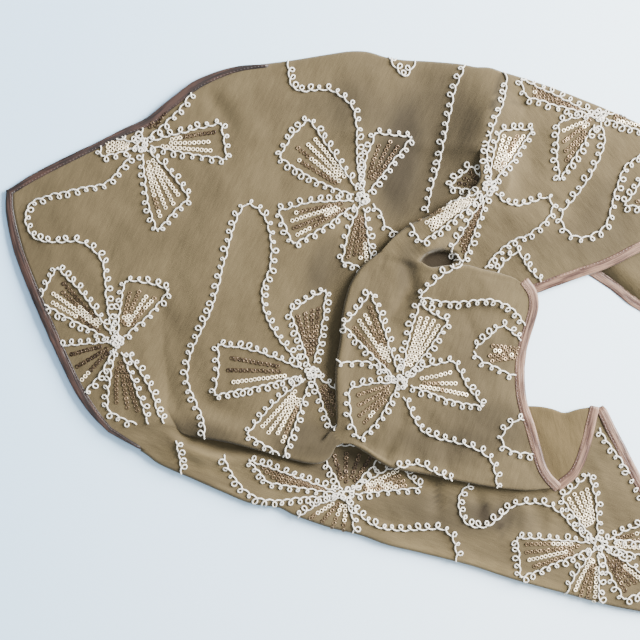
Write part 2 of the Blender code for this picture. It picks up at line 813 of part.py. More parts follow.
def build():
    for old in list(bpy.data.objects):
        bpy.data.objects.remove(old)
    parts = bpy.data.collections.new("headscarf")
    bpy.context.scene.collection.children.link(parts)
    cloth = new_material("cloth", CLOTH_COLOUR, 0.85)
    satin = new_material("binding_satin", BINDING_COLOUR, 0.45)

    back, lobe, lower, turned = crown(), front_lobe(), lower_tail(), fold_back()
    upper, under_edge = upper_tail()
    full = (BINDING_WIDTH, BINDING_WIDTH)
    tapered = (BINDING_WIDTH, BINDING_WIDTH, BINDING_WIDTH, 0.7 * BINDING_WIDTH, 2.4)
    left_edge = back.bound_edge("west")[::-1] + lower.bound_edge("south", 1, 1)
    binding("binding_back_upper", back.bound_edge("north", 0, 13), tapered, parts, satin)
    binding("binding_back_lower", left_edge, tapered, parts, satin)
    binding("binding_front_lobe", lobe.bound_edge("east", 1, 21), full, parts, satin)
    binding("binding_fold_back", turned.bound_edge("east"), full, parts, satin)
    binding("binding_lower_tail", lower.bound_edge("north", 26, 48), full, parts, satin)
    binding("binding_upper_tail", upper.bound_edge("south", 11, 34), full, parts, satin)
    binding("binding_under_layer", under_edge, full, parts, satin, thick=CLOTH)
    for panel in (back, lobe, upper, lower, turned):
        panel.build(parts, cloth)
    inner_folds(parts, cloth)


build()
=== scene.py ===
"""The look of the headscarf: a thin olive crepe bound in satin, with looped cord flowers and ring sequins.

Places are in millimetres from the top left corner of the layout, x to the right and y down, and a height is
that of the cloth's upper face above the table. Embroidery places are in steps of the photo, PHOTO_STEP each.
"""

import math
import random
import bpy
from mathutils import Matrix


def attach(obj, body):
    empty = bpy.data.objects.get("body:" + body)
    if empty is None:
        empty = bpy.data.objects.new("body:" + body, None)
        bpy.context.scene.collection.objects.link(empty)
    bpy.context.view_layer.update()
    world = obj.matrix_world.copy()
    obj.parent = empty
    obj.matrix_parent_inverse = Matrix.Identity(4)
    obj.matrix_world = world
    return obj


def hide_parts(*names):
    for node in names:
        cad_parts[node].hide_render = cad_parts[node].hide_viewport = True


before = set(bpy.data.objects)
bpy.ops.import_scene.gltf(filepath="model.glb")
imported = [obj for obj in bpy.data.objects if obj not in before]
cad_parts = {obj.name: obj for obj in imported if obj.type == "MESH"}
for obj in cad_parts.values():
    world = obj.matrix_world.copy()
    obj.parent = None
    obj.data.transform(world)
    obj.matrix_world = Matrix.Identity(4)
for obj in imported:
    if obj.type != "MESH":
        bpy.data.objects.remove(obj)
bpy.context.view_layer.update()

from types import SimpleNamespace

import bmesh
import bpy
from mathutils import Vector, noise
from mathutils.bvhtree import BVHTree

MM = 0.001
CLOTH = 0.8
BINDING_WIDTH = 7.4
BINDING_OVERLAP = 1.2
FOLD_REACH = 2.4
FOLD_RETURN = 9.0
ORIGIN_X = 406.5
ORIGIN_Y = 286.0
PHOTO_STEP = 0.85
PHOTO_WIDTH = 640
CAMERA_HEIGHT = 1200
FINE = 4
ROLL_STEPS = 9
UNDER_STEPS = 6
SPAN_SAMPLES = 12
# Lowest height of the middle of the cloth
CLOTH_FLOOR = 0.9

CORD_RADIUS = 0.66
LOOP_RADIUS = 2.4
LOOP_PITCH = 7.6
SEQUIN_RADIUS = 1.95
SEQUIN_HOLE = 0.85
SEQUIN_PITCH = 3.5
LOOP_STEPS = 16
# Where a cord climbs by more than this between two of its places, it stops and starts again
CORD_STEP = 2.5
SHORTEST_RUN = 6

rng = random.Random(7)

# Columns of every line below: x, y, height

# Seam of the binding, from the back corner up to where the top fold begins
CROWN_BACK_UPPER = (
    (10.5, 164.5, 3.4), (16, 161.2, 3.4), (29, 153.4, 3.6), (55, 140, 4.2), (104.5, 116, 4.2),
    (128, 106, 4.6), (149, 90.5, 5.2), (168, 76, 5.4), (182, 68.5, 5.4), (197, 62.5, 5.8),
)
CROWN_TOP_FOLD = (
    (197, 62.5, 5.8), (210, 59.5, 6), (242, 55.5, 6), (283, 49, 6.5), (298, 47, 7), (312, 47.5, 7),
    (327, 52, 7), (343, 54.5, 7), (363, 55.5, 7), (391, 58, 8), (403, 60.5, 8.7), (415, 61, 9),
    (425, 64.5, 9),
)
# Crest between the crown and the upper tail, from the top fold down to where the overlap begins
RIDGE = ((425, 64.5, 9), (416.5, 93.5, 12), (406.5, 129, 14))
# Edge of the crown that runs on under the upper tail and the lobe
CROWN_UNDER_LOBE = (
    (406.5, 129, 14), (408.6, 135, 11), (411, 146, 9.4), (409, 163, 8), (398, 175, 7.2), (377, 191, 7),
    (355, 206, 6.5), (335, 219, 6.5), (320, 236, 6.5), (309, 256, 6.5), (303, 285, 6.5), (299.5, 310, 6.5),
    (298.5, 330, 6.5), (297, 343.5, 7), (293.5, 353, 8.2), (289, 361.5, 10.2), (284.3, 366.5, 13),
)
# Where the crown and the lobe are one stretch of cloth, below the overlap
LOBE_ROOT = ((284.3, 366.5, 13), (285.8, 370.5, 13), (290, 375.5, 13))
CROWN_BACK_LOWER = (
    (10.5, 164.5, 3.4), (11.2, 180, 3.4), (18.5, 210, 3.8), (27, 233, 4.4), (44.5, 273.5, 5), (58, 304, 4.8),
    (70.5, 329.5, 4.6), (83.5, 350, 4.8), (95, 364, 5.2),
)
# Where the crown and the lower tail are one stretch of cloth
TAIL_ROOT = ((95, 364, 5.2), (116, 361.5, 6.6), (136, 359, 8.2), (144, 360.5, 7.4), (151, 363, 6))
CROWN_LOWER_FOLD = (
    (151, 363, 6), (157, 367.5, 7), (172, 369, 9), (197, 373, 11), (215, 377.5, 12), (238, 384, 12.5),
    (256, 389, 13), (268, 390.5, 13), (276.5, 388.5, 13), (281.5, 383.5, 13), (284.5, 378.5, 13),
    (290, 375.5, 13),
)

LOBE_SIDE_FOLD = (
    (284.3, 366.5, 13), (287, 360, 14), (288, 348.5, 14.8), (287.8, 337.5, 15), (287.5, 320.5, 15),
    (288.5, 307, 15), (291.5, 289, 15), (292.5, 274.5, 14.8), (294, 263.5, 14.5), (296.8, 252, 14.3),
    (300, 242.5, 14.2), (309, 228.5, 14), (323, 215, 14),
)
# Where the lobe and the upper tail are one stretch of cloth, left of the hollow
LOBE_NECK = ((323, 215, 14), (340, 218.5, 15), (355.5, 222.5, 15))
LOBE_TOP_FOLD = (
    (355.5, 222.5, 15), (365.5, 229, 15.2), (381, 228.5, 15.2), (396, 228.5, 15), (409, 232, 14.5),
    (426, 235.5, 13.5), (435, 237.5, 12.8), (442, 241.5, 12.2),
)
LOBE_FRONT = (
    (468, 413.5, 9.2), (462, 407, 9.2), (456.5, 398, 9.2), (451.5, 382, 9.2), (445.5, 361, 9.2),
    (440.5, 346, 9), (438, 331.5, 8.4), (437.5, 314.5, 7.8), (439, 300, 7.8), (441.5, 288.5, 8),
    (446, 273.5, 8.6), (449, 261, 9.6), (448, 250.5, 10.8), (442, 241.5, 12.2),
)
LOBE_LOWER_FOLD = (
    (290, 375.5, 13), (299, 375.5, 13.5), (312, 381.5, 13.5), (323, 389, 13.3), (334, 394.5, 13),
    (362, 399.5, 12), (396, 406.5, 11), (422.5, 411, 10), (443.5, 413, 9.6), (459, 413.5, 9.2),
    (468, 413.5, 9.2),
)

# Overlapping edge of the upper tail, from the end of the ridge down to the neck of the lobe
TAIL_SIDE_FOLD = (
    (406.5, 129, 14), (407, 142, 14.4), (408, 153, 14.8), (403, 162.5, 15.2), (393, 170, 15.5),
    (380, 177.5, 15.5), (365.5, 186.5, 15.5), (349.5, 193.5, 15), (335, 203, 14.5), (323, 215, 14),
)
UPPER_TAIL_TOP_FOLD = (
    (425, 64.5, 9), (443, 69.5, 7), (466.5, 77, 6.2), (489.5, 86, 6), (513, 95.5, 6), (544, 109.5, 6),
    (586.5, 132.5, 6), (637.5, 158, 6), (697, 183, 5.8), (756.5, 203, 5.6), (789, 216, 5.4),
)
# Edge of the upper tail that runs on under the lobe
UPPER_TAIL_HIDDEN = (
    (355.5, 222.5, 15), (361, 227, 10.6), (370.5, 234, 7.4), (384, 240, 6), (404, 245, 5.6),
    (421, 248.5, 5.2), (435, 249, 5.4),
)
UPPER_TAIL_FRONT = (
    (435, 249, 5.4), (452, 243, 5.8), (468, 237, 5.8), (487.5, 230, 5.8), (507, 223.5, 5.8), (520, 218, 5.8),
    (544, 206, 5.8), (578, 194.5, 5.8), (620.5, 191, 5.8), (680, 197, 5.8), (739.5, 213, 5.6),
    (787, 227, 5.4),
)
# Edges of the under layers, which lie flat on the table
CROWN_UNDER_EDGE = ((214, 66, 0), (280, 98, 0), (357, 143, 0), (425, 182, 0))
UPPER_TAIL_UNDER_EDGE = (
    (425, 182, 0), (459, 200.5, 0), (489, 217.5, 0), (511, 232, 0), (523.5, 240.5, 0), (544, 256, 0),
    (586.5, 277, 0), (637.5, 285.5, 0), (697, 273.5, 0), (756.5, 246, 0), (785, 228, 0),
)
LOWER_TAIL_UNDER_EDGE = (
    (119, 379, 0), (212.5, 398, 0), (340, 418, 0), (476, 442, 0), (544, 452, 0), (595, 476, 0),
    (654.5, 493, 0), (714, 499, 0), (769, 496, 0), (804, 491, 0),
)

LOWER_TAIL_FOLD = (
    (95, 364, 5.2), (108, 372.5, 5.6), (126.5, 384, 6), (136.5, 391.5, 6), (167, 405, 6), (188.5, 414.5, 6),
    (214.5, 425, 6), (238, 428.5, 6), (251, 435, 6), (281.5, 445.5, 6), (307.5, 452, 6), (329.5, 460, 6),
    (357, 466.5, 6), (400.5, 477.5, 6), (437.5, 489.5, 6), (478, 500.5, 6), (530.5, 514, 6), (595, 522.5, 6),
    (654.5, 524.5, 6), (714, 517.5, 5.8), (773.5, 505.5, 5.6), (807.5, 497, 5.4),
)
# Edge of the lower tail under the crown and the lobe, as far as the fold that shows beyond them
LOWER_TAIL_HIDDEN = (
    (151, 363, 6), (160, 367, 3.6), (172, 366.5, 2.8), (197, 362, 2.4), (221, 365, 2.2), (255, 371, 2.2),
    (276, 368, 2.2), (293, 360, 2.2), (310, 364, 2.2), (331.5, 376, 2.2), (362, 384, 2.2), (399.5, 388, 2.2),
    (424, 378, 2.4), (437, 360, 2.8), (450, 349, 3.2), (460, 348.6, 3.2),
)
LOWER_TAIL_UNDER_FOLD = (
    (460, 348.6, 3.2), (468.5, 350.4, 3.2), (479, 353.6, 3.2), (490.5, 350.9, 3.2), (500.5, 349.4, 3.2),
)
LOWER_TAIL_FRONT = (
    (500.5, 349.4, 3.2), (511, 352, 3.8), (516.5, 366.5, 4.6), (525, 384, 5), (534, 401, 5.4),
    (544, 419, 5.8), (563, 440, 5.8), (595, 458, 5.8), (646, 472, 5.8), (714, 480, 5.8), (769, 484.5, 5.6),
    (806, 486, 5.4),
)

# The stretch that shows between the lobe and the lower tail, with its wrong side up
FOLD_BACK_SOUTH = (
    (406.5, 401.5, 5.8), (425, 405, 5.8), (443, 407, 5.8), (462, 407.8, 5.8), (474.5, 408, 5.8),
)
FOLD_BACK_FRONT = (
    (474.5, 408, 5.8), (483.5, 400.5, 5.8), (489, 390.5, 5.9), (494, 375, 6.1), (498, 358, 6.4),
    (500.5, 347.5, 6.4),
)
FOLD_BACK_TOP = (
    (416.5, 348, 5.6), (433.5, 347, 5.6), (450, 346.6, 5.8), (460, 347.2, 6.4), (468.5, 349, 6.6),
    (479, 352.2, 6.4), (490.5, 349.2, 6.6), (500.5, 347.5, 6.4),
)
FOLD_BACK_WEST = ((406.5, 401.5, 5.8), (409, 375, 5.6), (416.5, 348, 5.6))

# Columns of the relief tables: height of the crest or depth of the trough, width to the left of its route,
# width to the right of its route, route
CROWN_RELIEF = (
    (2.2, 75, 75, ((120, 210), (220, 230))),
    (-1.8, 6, 8, ((174, 74), (186, 92), (198, 110))),
    (1.4, 12, 12, ((196, 70), (214, 110), (222, 150))),
    (-1.6, 16, 22, ((372, 80), (362, 130), (340, 170))),
    (1.6, 20, 20, ((318, 60), (312, 110), (300, 150))),
    (-1.6, 12, 14, ((150, 340), (175, 350), (215, 357))),
    (1.5, 22, 18, ((60, 200), (90, 270), (118, 320))),
)
LOBE_RELIEF = (
    (2.6, 40, 40, ((350, 300), (400, 330))),
    (-2.4, 7, 7, ((344, 226), (350, 246), (341, 260), (329, 275))),
    (2.6, 20, 5, ((356, 254), (384, 257), (408, 256), (425, 258), (437, 268))),
    (1.8, 12, 12, ((330, 388), (332, 360), (325, 330))),
    (-1.4, 8, 8, ((352, 393), (357, 365), (368, 345))),
)
UPPER_TAIL_RELIEF = (
    (-2, 16, 16, ((432, 90), (446, 130), (450, 165))),
    (1.8, 14, 16, ((400, 172), (440, 186), (480, 200))),
    (-1.6, 9, 12, ((372, 202), (392, 208), (420, 222))),
    (1.5, 16, 16, ((498, 110), (506, 150), (500, 190))),
    (1.2, 14, 14, ((570, 150), (640, 176), (700, 192))),
)
LOWER_TAIL_RELIEF = (
    (5.4, 4.5, 9, ((138, 362), (146, 371), (156, 379.5), (176, 386.5), (198, 389.5), (222, 389),
        (250, 395))),
    (-0.8, 14, 14, ((466, 380), (486, 400), (478, 424))),
    (1.6, 12, 10, ((260, 408), (300, 424), (340, 430))),
    (-1.4, 6, 6, ((370, 410), (371, 424), (374, 436))),
    (-1.2, 5, 5, ((454, 432), (456, 442), (460, 450))),
    (2, 12, 16, ((392, 446), (430, 452), (480, 466), (520, 484))),
    (1.4, 12, 12, ((560, 478), (640, 496), (720, 498))),
)
FOLD_BACK_RELIEF = ((0.8, 7, 7, ((462, 366), (472, 384), (476, 398))),)


# Fine creases of the cloth, with the columns of the relief tables
CROWN_CREASES = (
    (-4.6, 60, 32, ((356, 60), (350, 100), (342, 136), (330, 170))),
    (-2.4, 12, 16, ((300, 186), (284, 220), (279, 255), (277, 298), (275, 340))),
    (-2, 12, 24, ((402, 62), (393, 92), (385, 114), (377, 136), (366, 160))),
    (-1.6, 7, 9, ((164, 330), (186, 346), (206, 356))),
    (1.2, 16, 16, ((118, 246), (150, 262), (190, 268))),
    (-0.7, 3, 6, ((184, 66), (215, 66), (248, 60))),
    (0.5, 4, 4, ((300, 58), (330, 66), (350, 80))),
    (-0.6, 5, 7, ((384, 96), (368, 128), (352, 160))),
    (0.6, 5, 5, ((392, 92), (379, 124), (364, 156))),
    (-0.5, 5, 6, ((330, 176), (300, 200), (282, 232))),
    (0.5, 6, 6, ((288, 224), (274, 262), (270, 296))),
    (-0.6, 6, 8, ((240, 330), (262, 350), (276, 372))),
    (-0.5, 4, 6, ((146, 330), (150, 346), (164, 358))),
    (0.4, 5, 5, ((30, 190), (46, 214), (54, 240))),
    (-0.4, 5, 7, ((104, 196), (92, 214), (98, 232))),
    (-0.5, 4, 5, ((98, 104), (110, 124), (108, 150))),
)
LOBE_CREASES = (
    (-1.8, 8, 9, ((345, 214), (350, 240), (343, 256), (333, 270))),
    (-3.4, 60, 15, ((316, 240), (307, 266), (304, 300), (304, 340), (308, 366))),
    (-2.6, 5, 7, ((341, 358), (330, 380), (323, 392))),
    (1.3, 9, 9, ((296, 376), (300, 356), (294, 336))),
    (-1.5, 9, 10, ((386, 352), (383, 378), (378, 398))),
    (1.2, 12, 7, ((390, 252), (412, 250), (432, 256))),
    (-0.8, 3.5, 3.5, ((341, 205), (346, 223), (350, 244))),
    (-0.7, 3, 4, ((343, 250), (337, 262), (332, 270))),
    (0.6, 4, 4, ((300, 256), (312, 276), (310, 300))),
    (-0.5, 4, 5, ((392, 262), (402, 284), (398, 306))),
    (0.6, 6, 6, ((420, 300), (424, 332), (438, 360))),
    (-0.7, 4, 6, ((364, 352), (376, 372), (380, 396))),
    (-0.5, 4, 4, ((430, 384), (446, 394), (458, 408))),
)
UPPER_TAIL_CREASES = (
    (-2.6, 5, 6, ((413, 178), (401, 195), (387, 211))),
    (-1.9, 5, 6, ((434, 80), (444, 90), (450, 98))),
    (1.2, 9, 9, ((372, 206), (384, 200), (398, 186))),
    (-0.9, 4, 5, ((406, 132), (418, 150), (424, 172))),
    (0.6, 4, 4, ((396, 160), (412, 164), (430, 160))),
    (-0.7, 4, 5, ((440, 176), (462, 170), (486, 176))),
    (0.7, 4, 5, ((452, 100), (474, 118), (486, 142))),
    (-0.6, 4, 5, ((478, 196), (500, 196), (524, 188))),
    (0.6, 5, 5, ((500, 102), (520, 124), (530, 150))),
    (-0.6, 5, 6, ((552, 136), (590, 160), (640, 180))),
    (0.5, 5, 5, ((430, 214), (452, 220), (474, 214))),
)
LOWER_TAIL_CREASES = (
    (-2.2, 12, 12, ((376, 418), (410, 426), (445, 428), (472, 420))),
    (-1.8, 5, 6, ((166, 372), (186, 378), (212, 381))),
    (-1.8, 3.6, 4.4, ((371, 404), (373, 424), (370, 440))),
    (1.2, 4, 4, ((393, 410), (397, 426), (394, 444))),
    (-1.8, 3.6, 4, ((404, 416), (408, 430), (406, 446))),
    (-1.6, 3.6, 4, ((424, 422), (430, 436), (428, 450))),
    (1.2, 4, 4, ((440, 420), (446, 436), (444, 456))),
    (-1.4, 4, 4, ((456, 428), (462, 440), (458, 456))),
    (0.6, 4, 5, ((494, 376), (510, 400), (520, 430))),
    (-0.6, 4, 5, ((180, 400), (214, 408), (246, 418))),
    (0.6, 4, 4, ((122, 372), (140, 382), (152, 396))),
    (-0.7, 4, 4, ((292, 428), (318, 438), (346, 452))),
    (0.6, 5, 6, ((470, 480), (500, 476), (532, 486))),
    (-0.6, 5, 6, ((560, 470), (610, 492), (668, 500))),
    (0.5, 5, 6, ((600, 506), (650, 508), (700, 500))),
)

# Hollows and puffs that reach a panel's sides, by panel. Columns: height, middle, half length, half
# width, turn in degrees, steepness of the sides
PUFFS = {
    "upper_tail": (
        (-13.5, (371.6, 221.6), 17.2, 9.2, 9, 5),
        (1.8, (368, 209), 22, 7, 14, 1.3),
        (2, (414, 100), 34, 11, 74, 1.3),
    ),
    "lower_tail": (
        (-3, (308, 393), 30, 14, -6, 1.5),
        (-2.4, (192, 374), 42, 9, -8, 1.5),
    ),
    "crown": (
        (3, (198, 370), 44, 17, -8, 1.3),
        (2, (414, 100), 34, 11, 74, 1.3),
    ),
}

# Heap of hidden layers under the lobe. Columns: share of its half size, height
HEAP_PROFILE = (
    (1, 0.5), (1, 1.4), (0.94, 2.4), (0.93, 3.4), (0.86, 4.8), (0.84, 5.8), (0.72, 7.4), (0.5, 9.2),
    (0.25, 10), (0, 10.2),
)
HEAP_CENTRE = (371, 316)
HEAP_HALF_SIZE = (46, 38)
HEAP_SIDES = 48
# How much further its lowest layers reach under the pocket
HEAP_TAIL = 1.3

# Widths of the back binding, evenly from the lower tail round the back corner to the top fold. Near the
# corner the upper leg's strip stands on its edge
BACK_WIDTHS = (1.6, 4, 5.9, 7, 7.4, 7.4, 7.4, 7.4, 7.2, 7, 6.4, 5.6, 4, 5, 4.8, 4.6, 5.6, 7, 7, 4.6, 1.6)

# Darkest that the painted shade of the cloth may get
DEEPEST_PAINTED_SHADE = -0.86

# Painted shade and painted light on the cloth's colour, by panel: darker where the cloth leans away from the
# light, lies in a hollow or in the shadow of a layer above, lighter where the light falls on it. Columns:
# change of tone, and then in steps of the photo the middle, half length and half width, turn in degrees,
# steepness
PAINTED_SHADES = {
    "crown": (
        (-0.4, (428, 150), 112, 74, 70, 1.9),
        (-0.3, (398, 160), 88, 30, 82, 1.4),
        (-0.2, (338, 108), 62, 34, 0, 1.4),
        (-0.2, (356, 110), 66, 42, 84, 1.5),
        (-0.18, (344, 330), 110, 24, 83, 1.5),
        (-0.26, (310, 340), 112, 26, 86, 1.4),
        (-0.34, (326, 264), 46, 26, 74, 1.4),
        (-0.46, (314, 440), 56, 30, -4, 1.5),
        (-0.42, (204, 434), 54, 20, -12, 1.5),
        (-0.14, (262, 430), 40, 24, -8, 1.4),
    ),
    "upper_tail": (
        (-0.3, (444, 146), 108, 70, 70, 1.7),
        (-0.44, (494, 94), 36, 17, 74, 1.5),
        (-0.34, (407, 262), 46, 15, 80, 1.3),
        (-0.26, (606, 222), 74, 46, 70, 1.4),
        (-0.1, (540, 246), 60, 26, 0, 1.4),
        (-0.86, (437.4, 260.8), 19.8, 10.2, 9, 4),
        (-0.3, (516, 104), 14, 5, -24, 1.5),
        (0.66, (642, 302), 44, 22, -30, 1.5),
    ),
    "lower_tail": (
        (0.5, (206, 462), 66, 15, -14, 1.5),
        (-0.46, (340, 464), 52, 22, 0, 1.5),
        (-0.42, (446, 512), 96, 28, -8, 1.5),
        (-0.36, (504, 516), 52, 20, -10, 1.5),
        (-0.34, (437, 492), 19, 3.2, 88, 1.2),
        (0.26, (445, 498), 20, 5, 88, 1.2),
        (-0.22, (484, 512), 22, 3.6, 84, 1.2),
        (0.22, (492, 516), 18, 4.2, 86, 1.2),
        (-0.26, (500, 530), 18, 3.4, 97, 1.2),
        (0.2, (514, 532), 18, 5, 90, 1.2),
        (-0.22, (530, 538), 14, 3.4, 92, 1.2),
        (0.56, (500, 576), 160, 17, -17, 1.5),
    ),
    "front_lobe": (
        (-0.09, (430, 350), 150, 130, 0, 3),
        (-0.32, (490, 424), 74, 40, -14, 1.4),
        (-0.3, (438, 446), 66, 28, -10, 1.4),
        (-0.16, (480, 364), 50, 36, 0, 1.4),
        (0.16, (512, 316), 34, 30, 60, 1.4),
        (-0.34, (407, 262), 46, 15, 80, 1.3),
    ),
}

# Flowers. Columns: cloth, centre, petals. Columns of the petals: first outer corner, second outer corner,
# rows of sequins, share of sequins painted bright as a reflection, tone of the others from 0 for dark to 1
# for gold
FLOWERS = (
    ("crown", (142, 145), (
        ((222, 124), (227, 161), 3, 0.45, 0.15), ((190, 198), (158, 232), 4, 0.95, 0.6),
        ((101, 139), (102, 158), 3, 0.95, 0.6), ((194, 92), (150, 84), 3, 0, 0.1),
    )),
    ("crown", (119, 342), (
        ((58, 267), (40, 302), 4, 0.35, 0.2), ((126, 281), (171, 290), 4, 0.6, 0.6),
        ((60, 346), (84, 394), 3, 0.05, 0.1), ((108, 410), (152, 428), 3, 0, 0.35),
    )),
    ("crown", (362, 200), (
        ((279, 158), (309, 120), 4, 0.55, 0.3), ((374, 134), (412, 138), 3, 0.15, 0.3),
        ((278, 211), (293, 245), 4, 0.35, 0.3), ((341, 262), (372, 276), 4, 0.05, 0.35),
    )),
    ("crown", (312, 372), (
        ((218, 344), (215, 395), 3, 0.25, 0.15), ((290, 312), (326, 290), 4, 0, 0.25),
        ((247, 433), (284, 456), 4, 0.85, 0.6), ((332, 428), (356, 410), 3, 0.25, 0.3),
    )),
    ("lobe", (400, 382), (
        ((342, 325), (370, 292), 4, 0.4, 0.5), ((418, 303), (447, 321), 4, 0.95, 0.7),
        ((452, 360), (482, 406), 3, 0.8, 0.6), ((348, 388), (358, 438), 4, 0.1, 0.55),
    )),
    ("upper", (487, 190), (((498, 132), (532, 130), 4, 0.85, 0.6),)),
    ("crown", (486, 189), (((448, 188), (471, 167), 3, 0.05, 0.1),)),
    ("upper", (487, 190), (
        ((408, 222), (420, 244), 4, 0.9, 0.7), ((450, 250), (462, 263), 3, 0.05, 0.25),
    )),
    ("upper", (597, 118), (
        ((557, 124), (557, 182), 4, 0.1, 0.5), ((519, 80), (524, 98), 3, 0.15, 0.35),
        ((652, 108), (656, 136), 3, 0.3, 0.4),
    )),
    ("upper", (690, 215), (
        ((622, 206), (640, 178), 3, 0.4, 0.4), ((742, 222), (744, 196), 3, 0.4, 0.4),
        ((655, 250), (700, 262), 3, 0.6, 0.5),
    )),
    ("lower", (346, 494), (
        ((249, 459), (268, 482), 4, 0.12, 0.45), ((400, 463), (421, 487), 4, 0.45, 0.6),
        ((320, 446), (388, 448), 4, 0, 0.15), ((296, 516), (352, 540), 4, 0.6, 0.5),
    )),
    ("lower", (597, 543), (
        ((560, 497), (588, 472), 4, 0.5, 0.6), ((515, 536), (519, 577), 4, 0.25, 0.6),
        ((563, 596), (598, 612), 4, 0.6, 0.5), ((622, 598), (652, 582), 4, 0.3, 0.25),
        ((650, 520), (662, 556), 3, 0.4, 0.4),
    )),
    ("lower", (762, 586), (
        ((700, 572), (704, 606), 3, 0.5, 0.4), ((822, 574), (824, 600), 3, 0.4, 0.4),
        ((738, 560), (772, 548), 3, 0.2, 0.4),
    )),
)
PETALS = tuple((cloth, centre, *petal) for cloth, centre, petals in FLOWERS for petal in petals)

# Fans of sequins whose outline is among the stems. Columns: cloth, centre, and then those of the petals
FANS = (("lobe", (560, 352), (478, 340), (482, 366), 4, 0.2, 0.5),)

# Stems. Columns: cloth, side of the line that its loops lie on, places along it
STEMS = (
    ("crown", -1, ((132, 156), (124, 166), (108, 183), (86, 188), (66, 193), (48, 197), (32, 204), (27, 216),
        (30, 230), (40, 240), (58, 242), (80, 242), (94, 249), (103, 260), (107, 280), (109, 305),
        (114, 330))),
    ("crown", -1, ((128, 352), (140, 368), (152, 390), (160, 413), (170, 428))),
    ("crown", -1, ((288, 58), (289, 72), (296, 90), (330, 92), (350, 106), (356, 124), (357, 150),
        (360, 188))),
    ("crown", 1, ((372, 205), (380, 214), (384, 226), (398, 234))),
    ("crown", -1, ((388, 58), (395, 68), (404, 77), (412, 68), (418, 60))),
    ("crown", 1, ((464, 66), (455, 88), (449, 115), (444, 140), (438, 165), (430, 193), (426, 214))),
    ("crown", 1, ((300, 362), (284, 345), (268, 318), (263, 292), (272, 262), (271, 238), (264, 216),
        (247, 205), (237, 220), (229, 245), (220, 280), (211, 310), (200, 334), (190, 358), (188, 380),
        (196, 402), (205, 424), (204, 446))),
    ("lobe", -1, ((403, 396), (420, 428), (436, 436), (458, 442), (480, 450), (492, 464), (496, 488))),
    ("lobe", 1, ((334, 350), (337, 360), (352, 362), (366, 362), (382, 370), (392, 378))),
    ("lobe", -1, ((418, 298), (430, 285), (448, 271), (466, 264))),
    ("lobe", 1, ((418, 298), (450, 303), (488, 300), (507, 307), (518, 318), (526, 332))),
    ("lobe", 1, ((526, 344), (513, 334), (501, 325), (486, 337), (473, 348))),
    ("lobe", 1, ((471, 352), (480, 361), (491, 366), (505, 373), (522, 378))),
    ("lobe", -1, ((394, 466), (404, 465), (414, 463), (424, 465), (434, 470), (444, 475), (454, 478))),
    ("lobe", 1, ((532, 418), (516, 419), (504, 428), (500, 440), (510, 450), (532, 454))),
    ("upper", 1, ((505, 73), (503, 92), (499, 109), (492, 124), (488, 136), (485, 149), (484, 162),
        (487, 176))),
    ("upper", -1, ((494, 194), (504, 203), (516, 206), (532, 202), (545, 198), (551, 205), (548, 216),
        (540, 225), (527, 235), (508, 244), (494, 256), (484, 269))),
    ("upper", -1, ((496, 272), (505, 260), (517, 253), (526, 266), (541, 282))),
    ("upper", 1, ((598, 124), (602, 142), (595, 163), (586, 180), (571, 200), (559, 217), (565, 232),
        (582, 238), (600, 230), (608, 214), (614, 190), (625, 166), (645, 156), (668, 170), (684, 200))),
    ("upper", 1, ((744, 210), (770, 214), (800, 226), (830, 240), (868, 246))),
    ("lower", -1, ((178, 440), (181, 456), (183, 478))),
    ("lower", 1, ((224, 455), (231, 472), (246, 490), (263, 499), (282, 500), (303, 497), (338, 496))),
    ("lower", -1, ((351, 504), (364, 518), (382, 527), (400, 529), (425, 528), (444, 529), (454, 540),
        (456, 566))),
    ("lower", -1, ((470, 482), (459, 496), (460, 512), (468, 523), (484, 526), (499, 516), (520, 503),
        (545, 504), (560, 512), (572, 526), (588, 540))),
    ("lower", 1, ((598, 428), (606, 442), (616, 456), (626, 470), (634, 482), (642, 500))),
    ("lower", 1, ((610, 538), (635, 541), (662, 548), (690, 562), (716, 586), (744, 590))),
    ("lower", -1, ((824, 588), (850, 580), (876, 584), (904, 580))),
)


def to_part(x, y, z):
    """A place of the layout in the part's own frame, in metres."""
    return Vector(((x - ORIGIN_X) * MM, (ORIGIN_Y - y) * MM, z * MM))


def eased(t):
    """A share from 0 to 1 that starts and ends softly."""
    t = min(max(t, 0.0), 1.0)
    return t * t * (3 - 2 * t)


def smooth_line(rows):
    """A smooth curve through the rows, as a function of the share of its length from 0 to 1."""
    points = [Vector(row) for row in rows]
    ends = [2 * points[0] - points[1], *points, 2 * points[-1] - points[-2]]
    samples = []
    for before, start, end, after in zip(ends, ends[1:], ends[2:], ends[3:]):
        into = (end - before) * (end - start).length / max((end - before).length, 1e-9)
        out = (after - start) * (end - start).length / max((after - start).length, 1e-9)
        for step in range(SPAN_SAMPLES):
            t = step / SPAN_SAMPLES
            place = start * (2 * t**3 - 3 * t**2 + 1) + into * (t**3 - 2 * t**2 + t)
            samples.append(place + end * (3 * t**2 - 2 * t**3) + out * (t**3 - t**2))
    samples.append(points[-1])
    lengths = [0.0]
    for first, second in zip(samples, samples[1:]):
        lengths.append(lengths[-1] + (second - first).length)

    def at(share):
        wanted = min(max(share, 0.0), 1.0) * lengths[-1]
        index = 1
        while index < len(lengths) - 1 and lengths[index] < wanted:
            index += 1
        span = lengths[index] - lengths[index - 1]
        along = (wanted - lengths[index - 1]) / max(span, 1e-9)
        return samples[index - 1].lerp(samples[index], along)

    return at


def route_distance(x, y, route):
    """Distance of a place from a route, the share of it that the place lies beside, and the side."""
    best = (1e9, 0.0, 1.0)
    spans = list(zip(route, route[1:]))
    for index, ((ax, ay), (bx, by)) in enumerate(spans):
        dx, dy = bx - ax, by - ay
        along = ((x - ax) * dx + (y - ay) * dy) / (dx * dx + dy * dy)
        along = min(max(along, 0.0), 1.0)
        px, py = ax + along * dx, ay + along * dy
        distance = math.hypot(x - px, y - py)
        if distance < best[0]:
            side = 1.0 if dx * (y - ay) - dy * (x - ax) > 0 else -1.0
            best = (distance, (index + along) / len(spans), side)
    return best


